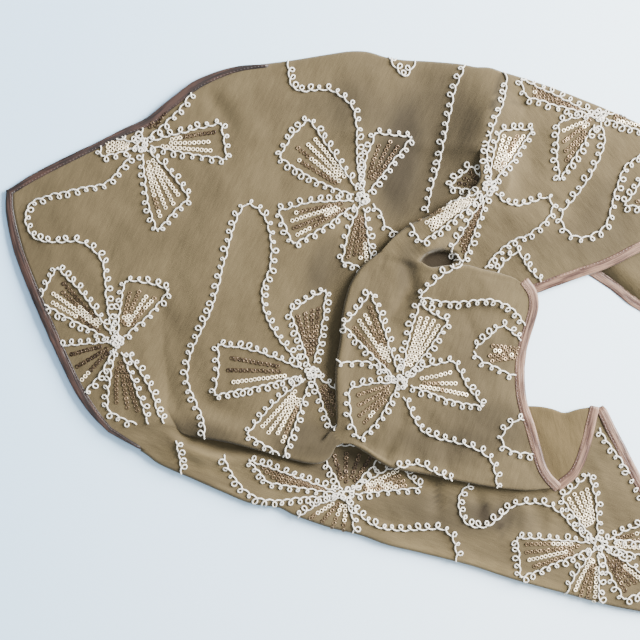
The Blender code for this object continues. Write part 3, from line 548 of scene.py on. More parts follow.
def relief_at(x, y, table):
    """Height that the crests and troughs of a table add at a place."""
    total = 0.0
    for height, left, right, route in table:
        distance, share, side = route_distance(x, y, route)
        width = right if side > 0 else left
        fade = math.sin(math.pi * min(max(share, 0.12), 0.88))
        total += height * fade * math.exp(-((distance / width) ** 2))
    return total


def side_fade(u, v):
    """Brings the creases to nothing at the sides of a panel."""
    return eased(min(u, 1 - u, v, 1 - v) / 0.05)


def side_of(*stretches):
    """The points of a panel's side, from its stretches: the rows of each and its number of spans."""
    points = []
    for rows, spans in stretches:
        line = smooth_line(rows)
        spans *= FINE
        points += [line(step / spans) for step in range(1 if points else 0, spans + 1)]
    return points


def spot_at(table, name, x, y):
    """What a panel's spots of this table add up to at one place."""
    total = 0.0
    for height, middle, half_length, half_width, turn, steep in table.get(name, ()):
        cosine, sine = math.cos(math.radians(turn)), math.sin(math.radians(turn))
        across, up = x - middle[0], middle[1] - y
        along = (across * cosine + up * sine) / half_length
        aside = (up * cosine - across * sine) / half_width
        total += height * eased((1 - math.hypot(along, aside)) * steep)
    return total


def cloth_ripple(x, y):
    """The small unevenness of a cloth that has been worn and dropped."""
    along, across = 0.89 * x - 0.45 * y, 0.45 * x + 0.89 * y
    broad = noise.noise(Vector((x / 44, y / 36, 1.7)))
    small = noise.noise(Vector((along / 13, across / 26, 5.1)))
    fine = noise.noise(Vector((along / 6, across / 13, 9.3)))
    return broad + 0.55 * small + 0.16 * fine


class Panel:
    """A stretch of the cloth: a fine grid between four sides, with its folds rolled under."""

    def __init__(self, name, south, north, west, east, relief, creases=(), fade=1, level_fade=1):
        self.name, self.fade, self.level_fade = name, fade, max(fade, level_fade)
        self.south, self.north, self.west, self.east = south, north, west, east
        self.relief, self.creases = relief, creases
        self.columns, self.rows = len(south) - 1, len(west) - 1
        self.mesh = bmesh.new()
        bmesh.ops.create_grid(self.mesh, x_segments=self.columns, y_segments=self.rows, size=0.5)
        self.at_cell = {}
        for vert in self.mesh.verts:
            column = round((vert.co.x + 0.5) * self.columns)
            row = round((vert.co.y + 0.5) * self.rows)
            self.at_cell[column, row] = vert
            vert.co = self.point(column, row)

    def point(self, column, row):
        """A place on the middle of the cloth, between the four sides."""
        u, v = column / self.columns, row / self.rows
        west_bow = self.west[row] - self.south[0].lerp(self.north[0], v)
        east_bow = self.east[row] - self.south[-1].lerp(self.north[-1], v)
        between = self.south[column].lerp(self.north[column], v)
        between += west_bow * (1 - u) ** self.fade + east_bow * u**self.fade
        between.z += east_bow.z * (u**self.level_fade - u**self.fade)
        x, y = between.x, between.y
        raised = relief_at(x, y, self.relief) + relief_at(x, y, self.creases)
        raised += 0.8 * cloth_ripple(x, y)
        height = between.z - CLOTH / 2 + raised * side_fade(u, v) + 0.25 * cloth_ripple(x, y)
        height += spot_at(PUFFS, self.name, x, y)
        return Vector((x, y, max(height, CLOTH_FLOOR)))

    def side(self, name):
        """The grid's points along one side, from west to east or from south to north."""
        if name in ("south", "north"):
            row = 0 if name == "south" else self.rows
            return [self.at_cell[i, row] for i in range(self.columns + 1)]
        column = 0 if name == "west" else self.columns
        return [self.at_cell[column, j] for j in range(self.rows + 1)]

    def outward(self, name, index):
        """The level direction out of the cloth at one point of a side."""
        chain = self.side(name)
        before = chain[max(index - 2, 0)].co
        after = chain[min(index + 2, len(chain) - 1)].co
        along = after - before
        turn = 1 if name in ("north", "west") else -1
        return Vector((along.y * turn, -along.x * turn, 0)).normalized()

    def extend(self, chain, sections):
        """Grows the panel from a chain of its edge points: a section lists the new points of one of them."""
        for step in range(len(sections[0])):
            pairs = zip(chain, chain[1:])
            edges = [edge for a, b in pairs for edge in a.link_edges if edge.other_vert(a) == b]
            made = bmesh.ops.extrude_edge_only(self.mesh, edges=edges)["geom"]
            new = {item for item in made if isinstance(item, bmesh.types.BMVert)}
            ends = [[edge.other_vert(vert) for edge in vert.link_edges] for vert in chain]
            chain = [next(vert for vert in near if vert in new) for near in ends]
            for vert, section in zip(chain, sections):
                vert.co = section[step]

    def roll_under(self, name, first, last, deepest, floor, ramp=3.0):
        """Rolls a side under from one of its points to another, over what lies below this floor height."""
        first, last = first * FINE, last * FINE
        chain = self.side(name)
        sections = []
        for index in range(first, last + 1):
            full = eased((min(index - first, last - index) / FINE + 0.15) / ramp)
            edge = chain[index].co
            drop = max(min(deepest, edge.z - floor), 0.6) * full
            outward = self.outward(name, index)
            sections.append(rolled(edge, outward, drop, FOLD_REACH * full, FOLD_RETURN * full))
        self.extend(chain[first : last + 1], sections)

    def fold_to_table(self, name, first, under):
        """Rolls a side down to the table, with an under layer that reaches this line."""
        first *= FINE
        chain = self.side(name)[first:]
        target = smooth_line(under)
        sections = []
        for step, vert in enumerate(chain):
            outward = self.outward(name, first + step)
            sections.append(folded_under(vert.co, outward, target(step / (len(chain) - 1))))
        self.extend(chain, sections)
        return [section[-1] for section in sections]

    def bound_edge(self, name, first=0, last=None):
        """The places and outward directions that a binding follows."""
        chain = self.side(name)
        last = len(chain) - 1 if last is None else last * FINE
        return [(chain[i].co.copy(), self.outward(name, i)) for i in range(first * FINE, last + 1)]


def rolled(edge, outward, drop, reach, back):
    """Section of a fold: half an ellipse out and down from the edge, then level under the cloth."""
    section = []
    for step in range(1, ROLL_STEPS + 1):
        angle = math.pi * step / ROLL_STEPS
        out = outward * reach * math.sin(angle)
        section.append(edge + out - Vector((0, 0, drop * (1 - math.cos(angle)) / 2)))
    for step in range(1, 4):
        section.append(section[ROLL_STEPS - 1] - outward * back * step / 3)
    return section


def folded_under(edge, outward, target):
    """Section of a tail's fold: rolled down to the table, then level to the edge of the under layer."""
    level = CLOTH / 2 + 0.1
    section = rolled(edge, outward, edge.z - level, FOLD_REACH, 0)[:ROLL_STEPS]
    start = section[-1]
    end = Vector((target.x, target.y, level))
    return section + [start.lerp(end, step / UNDER_STEPS) for step in range(1, UNDER_STEPS + 1)]


def further_under(edge):
    """The hidden layer of the lower tail, from this place of its edge on under the crown and the lobe."""
    steps = ((8, 0.2), (20, 0.5), (36, 0.8), (54, 1.2))
    return [Vector((edge.x, edge.y - ahead, max(edge.z - drop, CLOTH_FLOOR))) for ahead, drop in steps]


def crown():
    """The flat back of the scarf, from its back corner to under the lobe."""
    panel = Panel(
        "crown",
        south=side_of((TAIL_ROOT, 12), (CROWN_LOWER_FOLD, 16)),
        north=side_of((CROWN_BACK_UPPER, 14), (CROWN_TOP_FOLD, 14)),
        west=side_of((CROWN_BACK_LOWER[::-1], 22)),
        east=side_of((LOBE_ROOT[::-1], 2), (CROWN_UNDER_LOBE[::-1], 16), (RIDGE[::-1], 4)),
        relief=CROWN_RELIEF,
        creases=CROWN_CREASES,
        level_fade=3,
    )
    panel.fold_to_table("north", 14, CROWN_UNDER_EDGE)
    panel.roll_under("south", 12, 28, 6.0, 5.6)
    return panel


def front_lobe():
    """The raised front of the scarf, rolled under on three sides and bound on the fourth."""
    panel = Panel(
        "front_lobe",
        south=side_of((LOBE_LOWER_FOLD, 22)),
        north=side_of((LOBE_NECK, 5), (LOBE_TOP_FOLD, 17)),
        west=side_of((LOBE_ROOT[::-1], 2), (LOBE_SIDE_FOLD, 20)),
        east=side_of((LOBE_FRONT, 22)),
        relief=LOBE_RELIEF,
        creases=LOBE_CREASES,
    )
    panel.roll_under("west", 2, 22, 6.2, 7.9)
    panel.roll_under("south", 0, 22, 6.0, 6.9)
    panel.roll_under("north", 5, 22, 6.0, 6.6, ramp=5.0)
    return panel


def upper_tail():
    """The tail to the upper right, folded lengthwise along its upper edge."""
    panel = Panel(
        "upper_tail",
        south=side_of((LOBE_NECK, 5), (UPPER_TAIL_HIDDEN, 10), (UPPER_TAIL_FRONT, 19)),
        north=side_of((UPPER_TAIL_TOP_FOLD[:3], 9), (UPPER_TAIL_TOP_FOLD[2:], 25)),
        west=side_of((TAIL_SIDE_FOLD[::-1], 14), (RIDGE[::-1], 4)),
        east=side_of(((UPPER_TAIL_FRONT[-1], UPPER_TAIL_TOP_FOLD[-1]), 18)),
        relief=UPPER_TAIL_RELIEF,
        creases=UPPER_TAIL_CREASES,
    )
    under = panel.fold_to_table("north", 0, UPPER_TAIL_UNDER_EDGE)
    panel.roll_under("west", 0, 14, 6.2, 8.6, ramp=5.0)
    places = []
    for before, place, after in zip(under[6 * FINE :], under[7 * FINE :], under[8 * FINE :]):
        along = after - before
        places.append((place, Vector((-along.y, along.x, 0)).normalized()))
    return panel, places


def lower_tail():
    """The tail to the lower right, folded lengthwise along its lower edge."""
    panel = Panel(
        "lower_tail",
        south=side_of((LOWER_TAIL_FOLD, 48)),
        north=side_of((LOWER_TAIL_HIDDEN, 22), (LOWER_TAIL_UNDER_FOLD, 4), (LOWER_TAIL_FRONT, 22)),
        west=side_of((TAIL_ROOT, 12)),
        east=side_of(((LOWER_TAIL_FOLD[-1], LOWER_TAIL_FRONT[-1]), 12)),
        relief=LOWER_TAIL_RELIEF,
        creases=LOWER_TAIL_CREASES,
        fade=10,
    )
    panel.fold_to_table("south", 2, LOWER_TAIL_UNDER_EDGE)
    hidden = panel.side("north")[3 * FINE : 17 * FINE]
    panel.extend(hidden, [further_under(vert.co) for vert in hidden])
    return panel


def fold_back():
    """The stretch between the lobe and the lower tail, wrong side up and rolled down at its top."""
    panel = Panel(
        "fold_back",
        south=side_of((FOLD_BACK_SOUTH, 12)),
        north=side_of((FOLD_BACK_TOP, 12)),
        west=side_of((FOLD_BACK_WEST, 10)),
        east=side_of((FOLD_BACK_FRONT, 10)),
        relief=FOLD_BACK_RELIEF,
    )
    chain = panel.side("north")
    sections = []
    for index, vert in enumerate(chain):
        outward = panel.outward("north", index)
        sections.append(rolled(vert.co, outward, 2.6, 1.4, 0)[: ROLL_STEPS - 1])
    panel.extend(chain, sections)
    return panel


def hidden_heap():
    """The layers bunched up under the lobe: one rounded heap, with the edges of its layers round it."""
    mesh = bmesh.new()
    rings = len(HEAP_PROFILE) - 1
    bmesh.ops.create_grid(mesh, x_segments=HEAP_SIDES, y_segments=rings, size=0.5)
    for vert in mesh.verts:
        angle = 2 * math.pi * (vert.co.x + 0.5)
        reach, height = HEAP_PROFILE[round((vert.co.y + 0.5) * rings)]
        reach *= 1 + 0.05 * math.cos(3 * angle) + 0.03 * math.sin(5 * angle)
        reach *= 1 + HEAP_TAIL * max(0.0, -math.sin(angle)) ** 2 * (1 - height / HEAP_PROFILE[-1][1])
        x = HEAP_CENTRE[0] + HEAP_HALF_SIZE[0] * reach * math.cos(angle)
        y = HEAP_CENTRE[1] + HEAP_HALF_SIZE[1] * reach * math.sin(angle)
        vert.co = Vector((x, y, height))
    return SimpleNamespace(name="heap", mesh=mesh)


def linked(name, data):
    """An object with this data, in the scene."""
    made = bpy.data.objects.new(name, data)
    bpy.context.scene.collection.objects.link(made)
    return made


def from_mesh(name, mesh, material):
    """An object in the scene with this mesh and material."""
    data = bpy.data.meshes.new(name)
    mesh.to_mesh(data)
    mesh.free()
    data.materials.append(material)
    return linked(name, data)


def finished(name, mesh, material, *nodes):
    """A shown piece of the scarf, from its mesh, in place of these solids."""
    made = from_mesh(name, mesh, material)
    made.data.shade_smooth()
    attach(made, "root")
    if nodes:
        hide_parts(*nodes)
    return made


def thread_map(mesh, name, turn):
    """Lays the thread directions and the cloth's painted shade and painted light on a mesh."""
    # The shade layer holds the painted shade and painted light: a change of the cloth's tone at each point
    shade = mesh.verts.layers.float.new("shade")
    for vert in mesh.verts:
        x, y = vert.co.x / PHOTO_STEP, vert.co.y / PHOTO_STEP
        vert[shade] = max(spot_at(PAINTED_SHADES, name, x, y), DEEPEST_PAINTED_SHADE)
    layer = mesh.loops.layers.uv.new("threads")
    cosine, sine = math.cos(math.radians(turn)), math.sin(math.radians(turn))
    for face in mesh.faces:
        for loop in face.loops:
            x, y = loop.vert.co.x * MM, loop.vert.co.y * MM
            loop[layer].uv = (x * cosine - y * sine, x * sine + y * cosine)


def cloth_piece(name, panels, material, nodes):
    """Joins panels into one cloth, closed where they share an edge, and gives it its thickness."""
    whole = bmesh.new()
    for panel, turn in panels:
        thread_map(panel.mesh, panel.name, turn)
        part = bpy.data.meshes.new("stretch")
        panel.mesh.to_mesh(part)
        whole.from_mesh(part)
        bpy.data.meshes.remove(part)
    bmesh.ops.remove_doubles(whole, verts=whole.verts, dist=0.02)
    for vert in whole.verts:
        vert.co = to_part(*vert.co)
    bmesh.ops.recalc_face_normals(whole, faces=whole.faces)
    piece = finished(name, whole, material, *nodes)
    wall = piece.modifiers.new("wall", "SOLIDIFY")
    wall.thickness = CLOTH * MM
    wall.offset = 0
    return piece


# Section of the binding from its sewn edge to its folded one. Columns: share of the width, height
BINDING_SECTION = (
    (0, 0.25), (0.03, 0.72), (0.1, 0.9), (0.17, 0.62), (0.24, 0.95), (0.42, 1.08), (0.55, 0.92),
    (0.7, 1.04), (0.86, 0.9), (0.96, 0.52), (1, 0.05), (0.97, -0.42), (0.86, -0.72), (0.5, -0.8),
    (0.1, -0.75), (0.02, -0.45),
)


def beyond(places, start=0.0, end=0.0):
    """The places of a binding, run on past its first and its last one by these lengths."""
    run = list(places)
    if start:
        (first, outward), (second, _) = run[0], run[2]
        ahead = (first - second).normalized()
        run = [(first + ahead * start * share, outward) for share in (1.0, 0.66, 0.33)] + run
    if end:
        (last, outward), (before, _) = run[-1], run[-3]
        ahead = (last - before).normalized()
        run += [(last + ahead * end * share, outward) for share in (0.33, 0.66, 1.0)]
    return run


def leaned(places, amount, reach):
    """A binding's places with its first stretch leant inwards, most of all at its end."""
    first = places[0][0]
    moved = []
    for place, outward in places:
        share = max(1 - (place - first).length / reach, 0.0)
        moved.append((place - outward * amount * share * share, outward))
    return moved


def round_corner(first, second):
    """Joins two bound edges that meet at a corner, with the outward direction turning between them."""
    (corner, before), (_, after) = first[-1], second[0]
    turn = before.to_2d().angle_signed(after.to_2d())
    fan = []
    for step in range(1, 8):
        angle = -turn * step / 8
        cosine, sine = math.cos(angle), math.sin(angle)
        outward = Vector((before.x * cosine - before.y * sine, before.x * sine + before.y * cosine, 0))
        from_side = abs(turn) * min(step, 8 - step) / 8
        fan.append((corner, outward / math.cos(from_side) ** 2.4))
    return first + fan + second[1:]


def binding(name, places, widths, material, *nodes, thick=1.0, seed=0.0):
    """A folded satin strip round an edge of the cloth."""
    sides, spans = len(BINDING_SECTION), len(places) - 1
    mesh = bmesh.new()
    bmesh.ops.create_grid(mesh, x_segments=spans, y_segments=sides, size=0.5)
    along = [0.0]
    for (first, _), (second, _) in zip(places, places[1:]):
        along.append(along[-1] + (second - first).length)
    layer = mesh.loops.layers.uv.new("threads")
    for vert in mesh.verts:
        index = round((vert.co.x + 0.5) * spans)
        row = round((vert.co.y + 0.5) * sides)
        across, up = BINDING_SECTION[row % sides]
        edge, outward = places[index]
        share = index / spans * (len(widths) - 1)
        before = min(int(share), len(widths) - 2)
        width = widths[before] + (widths[before + 1] - widths[before]) * (share - before)
        from_end = min(along[index], along[-1] - along[index]) / 1.6
        blunt = math.sqrt(max(1 - max(1 - from_end, 0.0) ** 2, 0.02))
        wobble = noise.noise(Vector((along[index] / 9, across * 2, seed)))
        pucker = noise.noise(Vector((along[index] / 3.2, across * 3, seed + 4)))
        slow = noise.noise(Vector((along[index] / 40, 0, seed + 8)))
        across = 0.5 + (across - 0.5) * (0.7 + 0.3 * blunt)
        up *= blunt
        reach = across * (width + BINDING_OVERLAP) * (1 + 0.05 * slow) - BINDING_OVERLAP
        place = edge + outward * (reach + 0.18 * wobble * across)
        lift = up * thick + (0.14 * wobble + 0.12 * pucker) * (1 if up > 0 else 0) + 0.25 * slow * across
        vert.co = to_part(place.x, place.y, max(place.z + lift, 0.05))
        for loop in vert.link_loops:
            loop[layer].uv = (along[index] * MM, across * width * MM)
    bmesh.ops.remove_doubles(mesh, verts=mesh.verts, dist=1e-6)
    ends = [edge for edge in mesh.edges if edge.is_boundary]
    bmesh.ops.holes_fill(mesh, edges=ends, sides=0)
    bmesh.ops.recalc_face_normals(mesh, faces=mesh.faces)
    return finished(name, mesh, material, *nodes)


class Cloths:
    """The upper faces of the panels, to lay the embroidery on."""

    def __init__(self, panels):
        self.trees = {name: BVHTree.FromBMesh(panel.mesh) for name, panel in panels.items()}

    def drop(self, name, x, y):
        """The place on the cloth under this one and the way it faces there, or None off its edge."""
        hit, normal, _, _ = self.trees[name].ray_cast(Vector((x, y, 60.0)), Vector((0, 0, -1)))
        if hit is None:
            return None
        if normal.z < 0:
            normal = -normal
        return hit + normal * CLOTH / 2, normal


def looped_line(route, side):
    """Plan places of a cord that follows a route and makes a small loop to one side at each pitch."""
    rows = [(x * PHOTO_STEP, y * PHOTO_STEP, 0.0) for x, y in route]
    line = smooth_line(rows)
    length = sum((Vector(b) - Vector(a)).length for a, b in zip(rows, rows[1:]))
    count = max(1, round(length / (LOOP_PITCH * rng.uniform(0.93, 1.07))))
    places = []
    for loop in range(count):
        pitch_scatter = rng.uniform(-0.10, 0.10)
        radius = LOOP_RADIUS * rng.uniform(0.76, 1.18)
        lean = rng.uniform(-0.55, 0.55)
        for step in range(LOOP_STEPS):
            t = step / LOOP_STEPS
            share = (loop + t) / count
            here = line(share)
            ahead = line(min(share + 0.004, 1.0)) - line(max(share - 0.004, 0.0))
            along = Vector((ahead.x, ahead.y)).normalized()
            across = Vector((-along.y, along.x)) * side
            turn = 0.76 * eased((t - 0.16) / 0.68) + 0.24 * t
            angle = 2 * math.pi * turn
            out = radius * (1 - math.cos(angle))
            forward = radius * 1.08 * math.sin(angle) + pitch_scatter * out + lean * out * 0.5
            sway = -0.5 * math.cos(2 * math.pi * t) * (1 - math.sin(math.pi * turn))
            out += sway - 0.3 + 0.9 * noise.noise(Vector((here.x / 7, here.y / 7, 3.3)))
            place = Vector((here.x, here.y)) + along * forward + across * out
            places.append((place.x, place.y, turn))
    return places


def scribble(centre):
    """Plan places of the tangle of small loops in the middle of a flower."""
    start = rng.uniform(0, 6.3)
    places = []
    for loop in range(7):
        way = start + loop * 2.4
        reach = rng.uniform(2.4, 5.4)
        radius = rng.uniform(1.7, 2.3)
        middle_x = centre[0] * PHOTO_STEP + reach * math.cos(way)
        middle_y = centre[1] * PHOTO_STEP + reach * math.sin(way)
        for step in range(12):
            angle = way + 2 * math.pi * step / 10
            x = middle_x + radius * math.cos(angle)
            y = middle_y + radius * 0.85 * math.sin(angle)
            places.append((x, y, 0.8 if loop % 2 else 0.0))
    return places


def cord_runs(cloths, name, places):
    """The parts of a cord that lie on a cloth, as lists of places and thicknesses."""
    runs, run = [], []
    last = None
    for x, y, turn in places:
        found = cloths.drop(name, x, y)
        if found is None or (last and abs(found[0].z - last) > CORD_STEP):
            if len(run) > SHORTEST_RUN:
                runs.append(run)
            run = []
            last = found[0].z if found else None
            continue
        place, normal = found
        last = place.z
        over = 0.75 * CORD_RADIUS + (0.9 * CORD_RADIUS if turn > 0.72 else 0.0)
        thick = 1.0 + 0.10 * math.sin(len(run) * 2.1) + rng.uniform(-0.05, 0.05)
        run.append((to_part(*(place + normal * over)), thick))
    if len(run) > SHORTEST_RUN:
        runs.append(run)
    return runs


def cord_piece(name, runs, material):
    """The cords of one stretch of cloth, as one piece."""
    curve = bpy.data.curves.new(name, "CURVE")
    curve.dimensions = "3D"
    curve.bevel_depth = CORD_RADIUS * MM
    curve.bevel_resolution = 1
    curve.use_fill_caps = True
    for run in runs:
        spline = curve.splines.new("POLY")
        spline.points.add(len(run) - 1)
        for point, (place, thick) in zip(spline.points, run):
            point.co = (*place, 1.0)
            point.radius = thick
    holder = bpy.data.objects.new(name + "_line", curve)
    data = bpy.data.meshes.new_from_object(holder)
    bpy.data.objects.remove(holder)
    mesh = bmesh.new()
    mesh.from_mesh(data)
    bpy.data.meshes.remove(data)
    return finished(name, mesh, material)


def petal_outline(centre, first, second):
    """A wedge petal from near the flower's centre to its two outer corners and back."""
    centre, first, second = Vector(centre), Vector(first), Vector(second)
    middle = (first + second) / 2
    out = (middle - centre).normalized()
    span = second - first
    inner_first = centre.lerp(first, 0.10) - span * 0.02
    inner_second = centre.lerp(second, 0.10) + span * 0.02
    waist_first = centre.lerp(first, rng.uniform(0.5, 0.62)) - span * rng.uniform(0.01, 0.11)
    waist_second = centre.lerp(second, rng.uniform(0.5, 0.62)) + span * rng.uniform(0.01, 0.11)
    crest = middle + out * span.length * rng.uniform(-0.05, 0.08)
    return (inner_first, waist_first, first), (first, crest, second), (second, waist_second, inner_second)


def embroider(cloths):
    """The looped cord of every petal and stem, as runs for each cloth."""
    runs = {name: [] for name in cloths.trees}
    for name, centre, first, second, *_ in PETALS:
        to_first, to_second = Vector(first) - Vector(centre), Vector(second) - Vector(centre)
        side = -1 if to_first.cross(to_second) > 0 else 1
        places = []
        for stretch in petal_outline(centre, first, second):
            places += looped_line(stretch, side)
        runs[name] += cord_runs(cloths, name, places)
    for name, side, route in STEMS:
        runs[name] += cord_runs(cloths, name, looped_line(route, side))
    for name, centre in sorted({petal[:2] for petal in PETALS}):
        runs[name] += cord_runs(cloths, name, scribble(centre))
    return runs


def sequin_template():
    """One ring sequin, lying flat round the origin: a thin cupped ring."""
    mesh = bmesh.new()
    profile = (
        (SEQUIN_HOLE, 0.1), (SEQUIN_HOLE + 0.22, 0.28), (SEQUIN_RADIUS - 0.3, 0.26),
        (SEQUIN_RADIUS, 0.02), (SEQUIN_RADIUS - 0.3, -0.06), (SEQUIN_HOLE + 0.15, -0.02),
    )
    ring = [mesh.verts.new((reach, 0, height)) for reach, height in profile]
    edges = [mesh.edges.new((a, b)) for a, b in zip(ring, ring[1:] + ring[:1])]
    bmesh.ops.spin(mesh, geom=ring + edges, axis=(0, 0, 1), angle=2 * math.pi, steps=12, use_merge=True)
    bmesh.ops.remove_doubles(mesh, verts=mesh.verts, dist=0.01)
    bmesh.ops.recalc_face_normals(mesh, faces=mesh.faces)
    data = bpy.data.meshes.new("sequin")
    mesh.to_mesh(data)
    mesh.free()
    return data


def sequin_places(centre, first, second, rows):
    """Plan places of a petal's sequins: rows that fan out from near the flower's centre."""
    centre, first, second = (Vector(p) * PHOTO_STEP for p in (centre, first, second))
    places = []
    for row in range(rows):
        share = (row + 0.75) / (rows + 0.5)
        tip = first.lerp(second, share)
        reach = (tip - centre).length
        start = rng.uniform(0.24, 0.38) * reach
        end = rng.uniform(0.80, 0.90) * reach
        out = (tip - centre).normalized()
        bend = Vector((-out.y, out.x)) * rng.uniform(-0.5, 0.5)
        count = int((end - start) / SEQUIN_PITCH)
        for step in range(count + 1):
            t = step / max(count, 1)
            place = centre + out * (start + (end - start) * t) + bend * math.sin(math.pi * t)
            places.append((row, place + Vector((rng.uniform(-0.15, 0.15), rng.uniform(-0.15, 0.15)))))
    return places


def sequin_piece(name, rows, cloths, template, material):
    """All the sequins of one stretch of cloth, as one piece, with a mark on each that is painted bright as a
    reflection.
    """
    mesh = bmesh.new()
    painted_shine = mesh.verts.layers.float.new("painted_shine")
    tone = mesh.verts.layers.float.new("tone")
    rim_painted_shade = mesh.verts.layers.float.new("rim_painted_shade")
    for _, centre, first, second, count, bright, base in rows:
        turn_state = rng.random() < bright
        last_row = -1
        for row, place in sequin_places(centre, first, second, count):
            found = cloths.drop(name, place.x, place.y)
            if found is None:
                continue
            if row != last_row or rng.random() < 0.16:
                turn_state = rng.random() < bright
                last_row = row
            hit, normal = found
            normal = (normal + Vector((rng.uniform(-0.2, 0.2), rng.uniform(-0.2, 0.2), 0))).normalized()
            turn = normal.to_track_quat("Z", "Y").to_matrix().to_4x4()
            start = len(mesh.verts)
            mesh.from_mesh(template)
            mesh.verts.ensure_lookup_table()
            own = 1.0 if turn_state else 0.0
            own_tone = min(max(base + rng.uniform(-0.12, 0.12), 0.0), 1.0)
            lift = hit + normal * (0.25 + rng.uniform(0.0, 0.25))
            for vert in mesh.verts[start:]:
                reach = vert.co.to_2d().length
                # The rim mark gets painted shade at the hole and the outer edge, the shine mark a painted
                # reflection
                vert[rim_painted_shade] = 1.0 if reach < SEQUIN_HOLE + 0.1 or reach > SEQUIN_RADIUS - 0.1 else 0.0
                vert[painted_shine] = own
                vert[tone] = own_tone
                vert.co = to_part(*(lift + turn @ vert.co))
    return finished(name + "_sequins", mesh, material)


class Value:
    """A shader value: a socket with arithmetic."""

    def __init__(self, graph, socket):
        self.graph, self.socket = graph, socket

    def _math(self, operation, *others):
        made = self.graph.node("ShaderNodeMath", operation=operation)
        for slot, value in enumerate((self, *others)):
            self.graph.feed(made.inputs[slot], value)
        return Value(self.graph, made.outputs[0])

    def __add__(self, other):
        return self._math("ADD", other)

    def __mul__(self, other):
        return self._math("MULTIPLY", other)

    def __sub__(self, other):
        return self._math("SUBTRACT", other)

    def __rsub__(self, other):
        return self * -1.0 + other

    def clamp(self):
        return self._math("MAXIMUM", 0.0)._math("MINIMUM", 1.0)

    def power(self, exponent):
        return self._math("POWER", exponent)

    def sine(self):
        return self._math("SINE")


class Graph:
    """The nodes of one material."""

    def __init__(self, name):
        self.material = bpy.data.materials.new(name)
        self.material.use_nodes = True
        self.tree = self.material.node_tree
        self.shader = self.tree.nodes["Principled BSDF"]

    def node(self, kind, links=None, **settings):
        made = self.tree.nodes.new(kind)
        for key, value in settings.items():
            setattr(made, key, value)
        for key, value in (links or {}).items():
            self.feed(made.inputs[key], value)
        return made

    def feed(self, slot, value):
        if isinstance(value, Value):
            self.tree.links.new(value.socket, slot)
        elif slot.type == "RGBA":
            slot.default_value = (*value, 1.0)
        else:
            slot.default_value = value

    def value(self, kind, output=0, links=None, **settings):
        return Value(self, self.node(kind, links, **settings).outputs[output])

    def noise(self, vector, scale, detail, rough):
        links = {"Vector": vector, "Scale": scale, "Detail": detail, "Roughness": rough}
        return self.value("ShaderNodeTexNoise", "Fac", links)

    def fibres(self, threads, along, across, detail, rough):
        """Noise that is finer along one way of the threads than along the other."""
        links = {"Vector": threads, "Scale": (along, across, 1.0)}
        return self.noise(self.value("ShaderNodeMapping", "Vector", links), 1.0, detail, rough)

    def attribute(self, name):
        return self.value("ShaderNodeAttribute", "Fac", attribute_name=name)

    def mix(self, factor, first, second):
        made = self.node("ShaderNodeMix", data_type="RGBA")
        for slot, value in (("Factor", factor), ("A", first), ("B", second)):
            wanted = [s for s in made.inputs if s.name == slot and s.enabled]
            self.feed(wanted[0], value)
        return Value(self, [s for s in made.outputs if s.enabled][0])

    def bump(self, height, distance, strength, normal=None):
        links = {"Height": height, "Distance": distance, "Strength": strength}
        if normal is not None:
            links["Normal"] = normal
        return self.value("ShaderNodeBump", "Normal", links)

    def finish(self, **inputs):
        for key, value in inputs.items():
            self.feed(self.shader.inputs[key.replace("_", " ")], value)
        return self.material


def cloth_material(name, light, mid, dark):
    """Fine crepe: a thread weave with slubs, with painted shade and painted light, browner where the shade is
    deep.
    """
    graph = Graph(name)
    threads = graph.value("ShaderNodeUVMap", "UV", uv_map="threads")
    along = graph.fibres(threads, 2400.0, 150.0, 2.0, 0.6)
    across = graph.fibres(threads, 150.0, 2400.0, 2.0, 0.6)
    slubs = graph.fibres(threads, 760.0, 45.0, 3.0, 0.65)
    brushed = graph.fibres(threads, 330.0, 70.0, 3.0, 0.6)
    grain = graph.noise(threads, 1300.0, 2.0, 0.6)
    patches = graph.noise(threads, 20.0, 3.0, 0.55)
    weave = along * 0.5 + across * 0.3 + grain * 0.3
    streaks = slubs * 0.55 + brushed * 0.45
    shade = (weave - 0.55) * 0.9 + (streaks - 0.5) * 1.3 + (patches - 0.5) * 1.2 + 0.5
    colour = graph.mix(shade.clamp(), dark, light)
    colour = graph.mix(0.15, colour, mid)
    # Painted shade and painted light: the shade attribute scales the colour down or up, and deep painted
    # shade turns it browner
    broad = graph.attribute("shade")
    scaled = {"Vector": colour, "Scale": broad + 1.0}
    colour = graph.value("ShaderNodeVectorMath", "Vector", scaled, operation="SCALE")
    colour = graph.mix((broad * -2.0 - 1.15).clamp(), colour, (0.021, 0.0125, 0.003))
    normal = graph.bump(weave + streaks * 0.25, 0.0004, 0.7)
    creases = graph.fibres(threads, 115.0, 42.0, 2.0, 0.5)
    normal = graph.bump(creases, 0.0012, 0.5, normal)
    graph.finish(Sheen_Weight=0.12, Sheen_Roughness=0.5, Specular_IOR_Level=0.25)
    return graph.finish(Base_Color=colour, Roughness=0.88, Normal=normal)


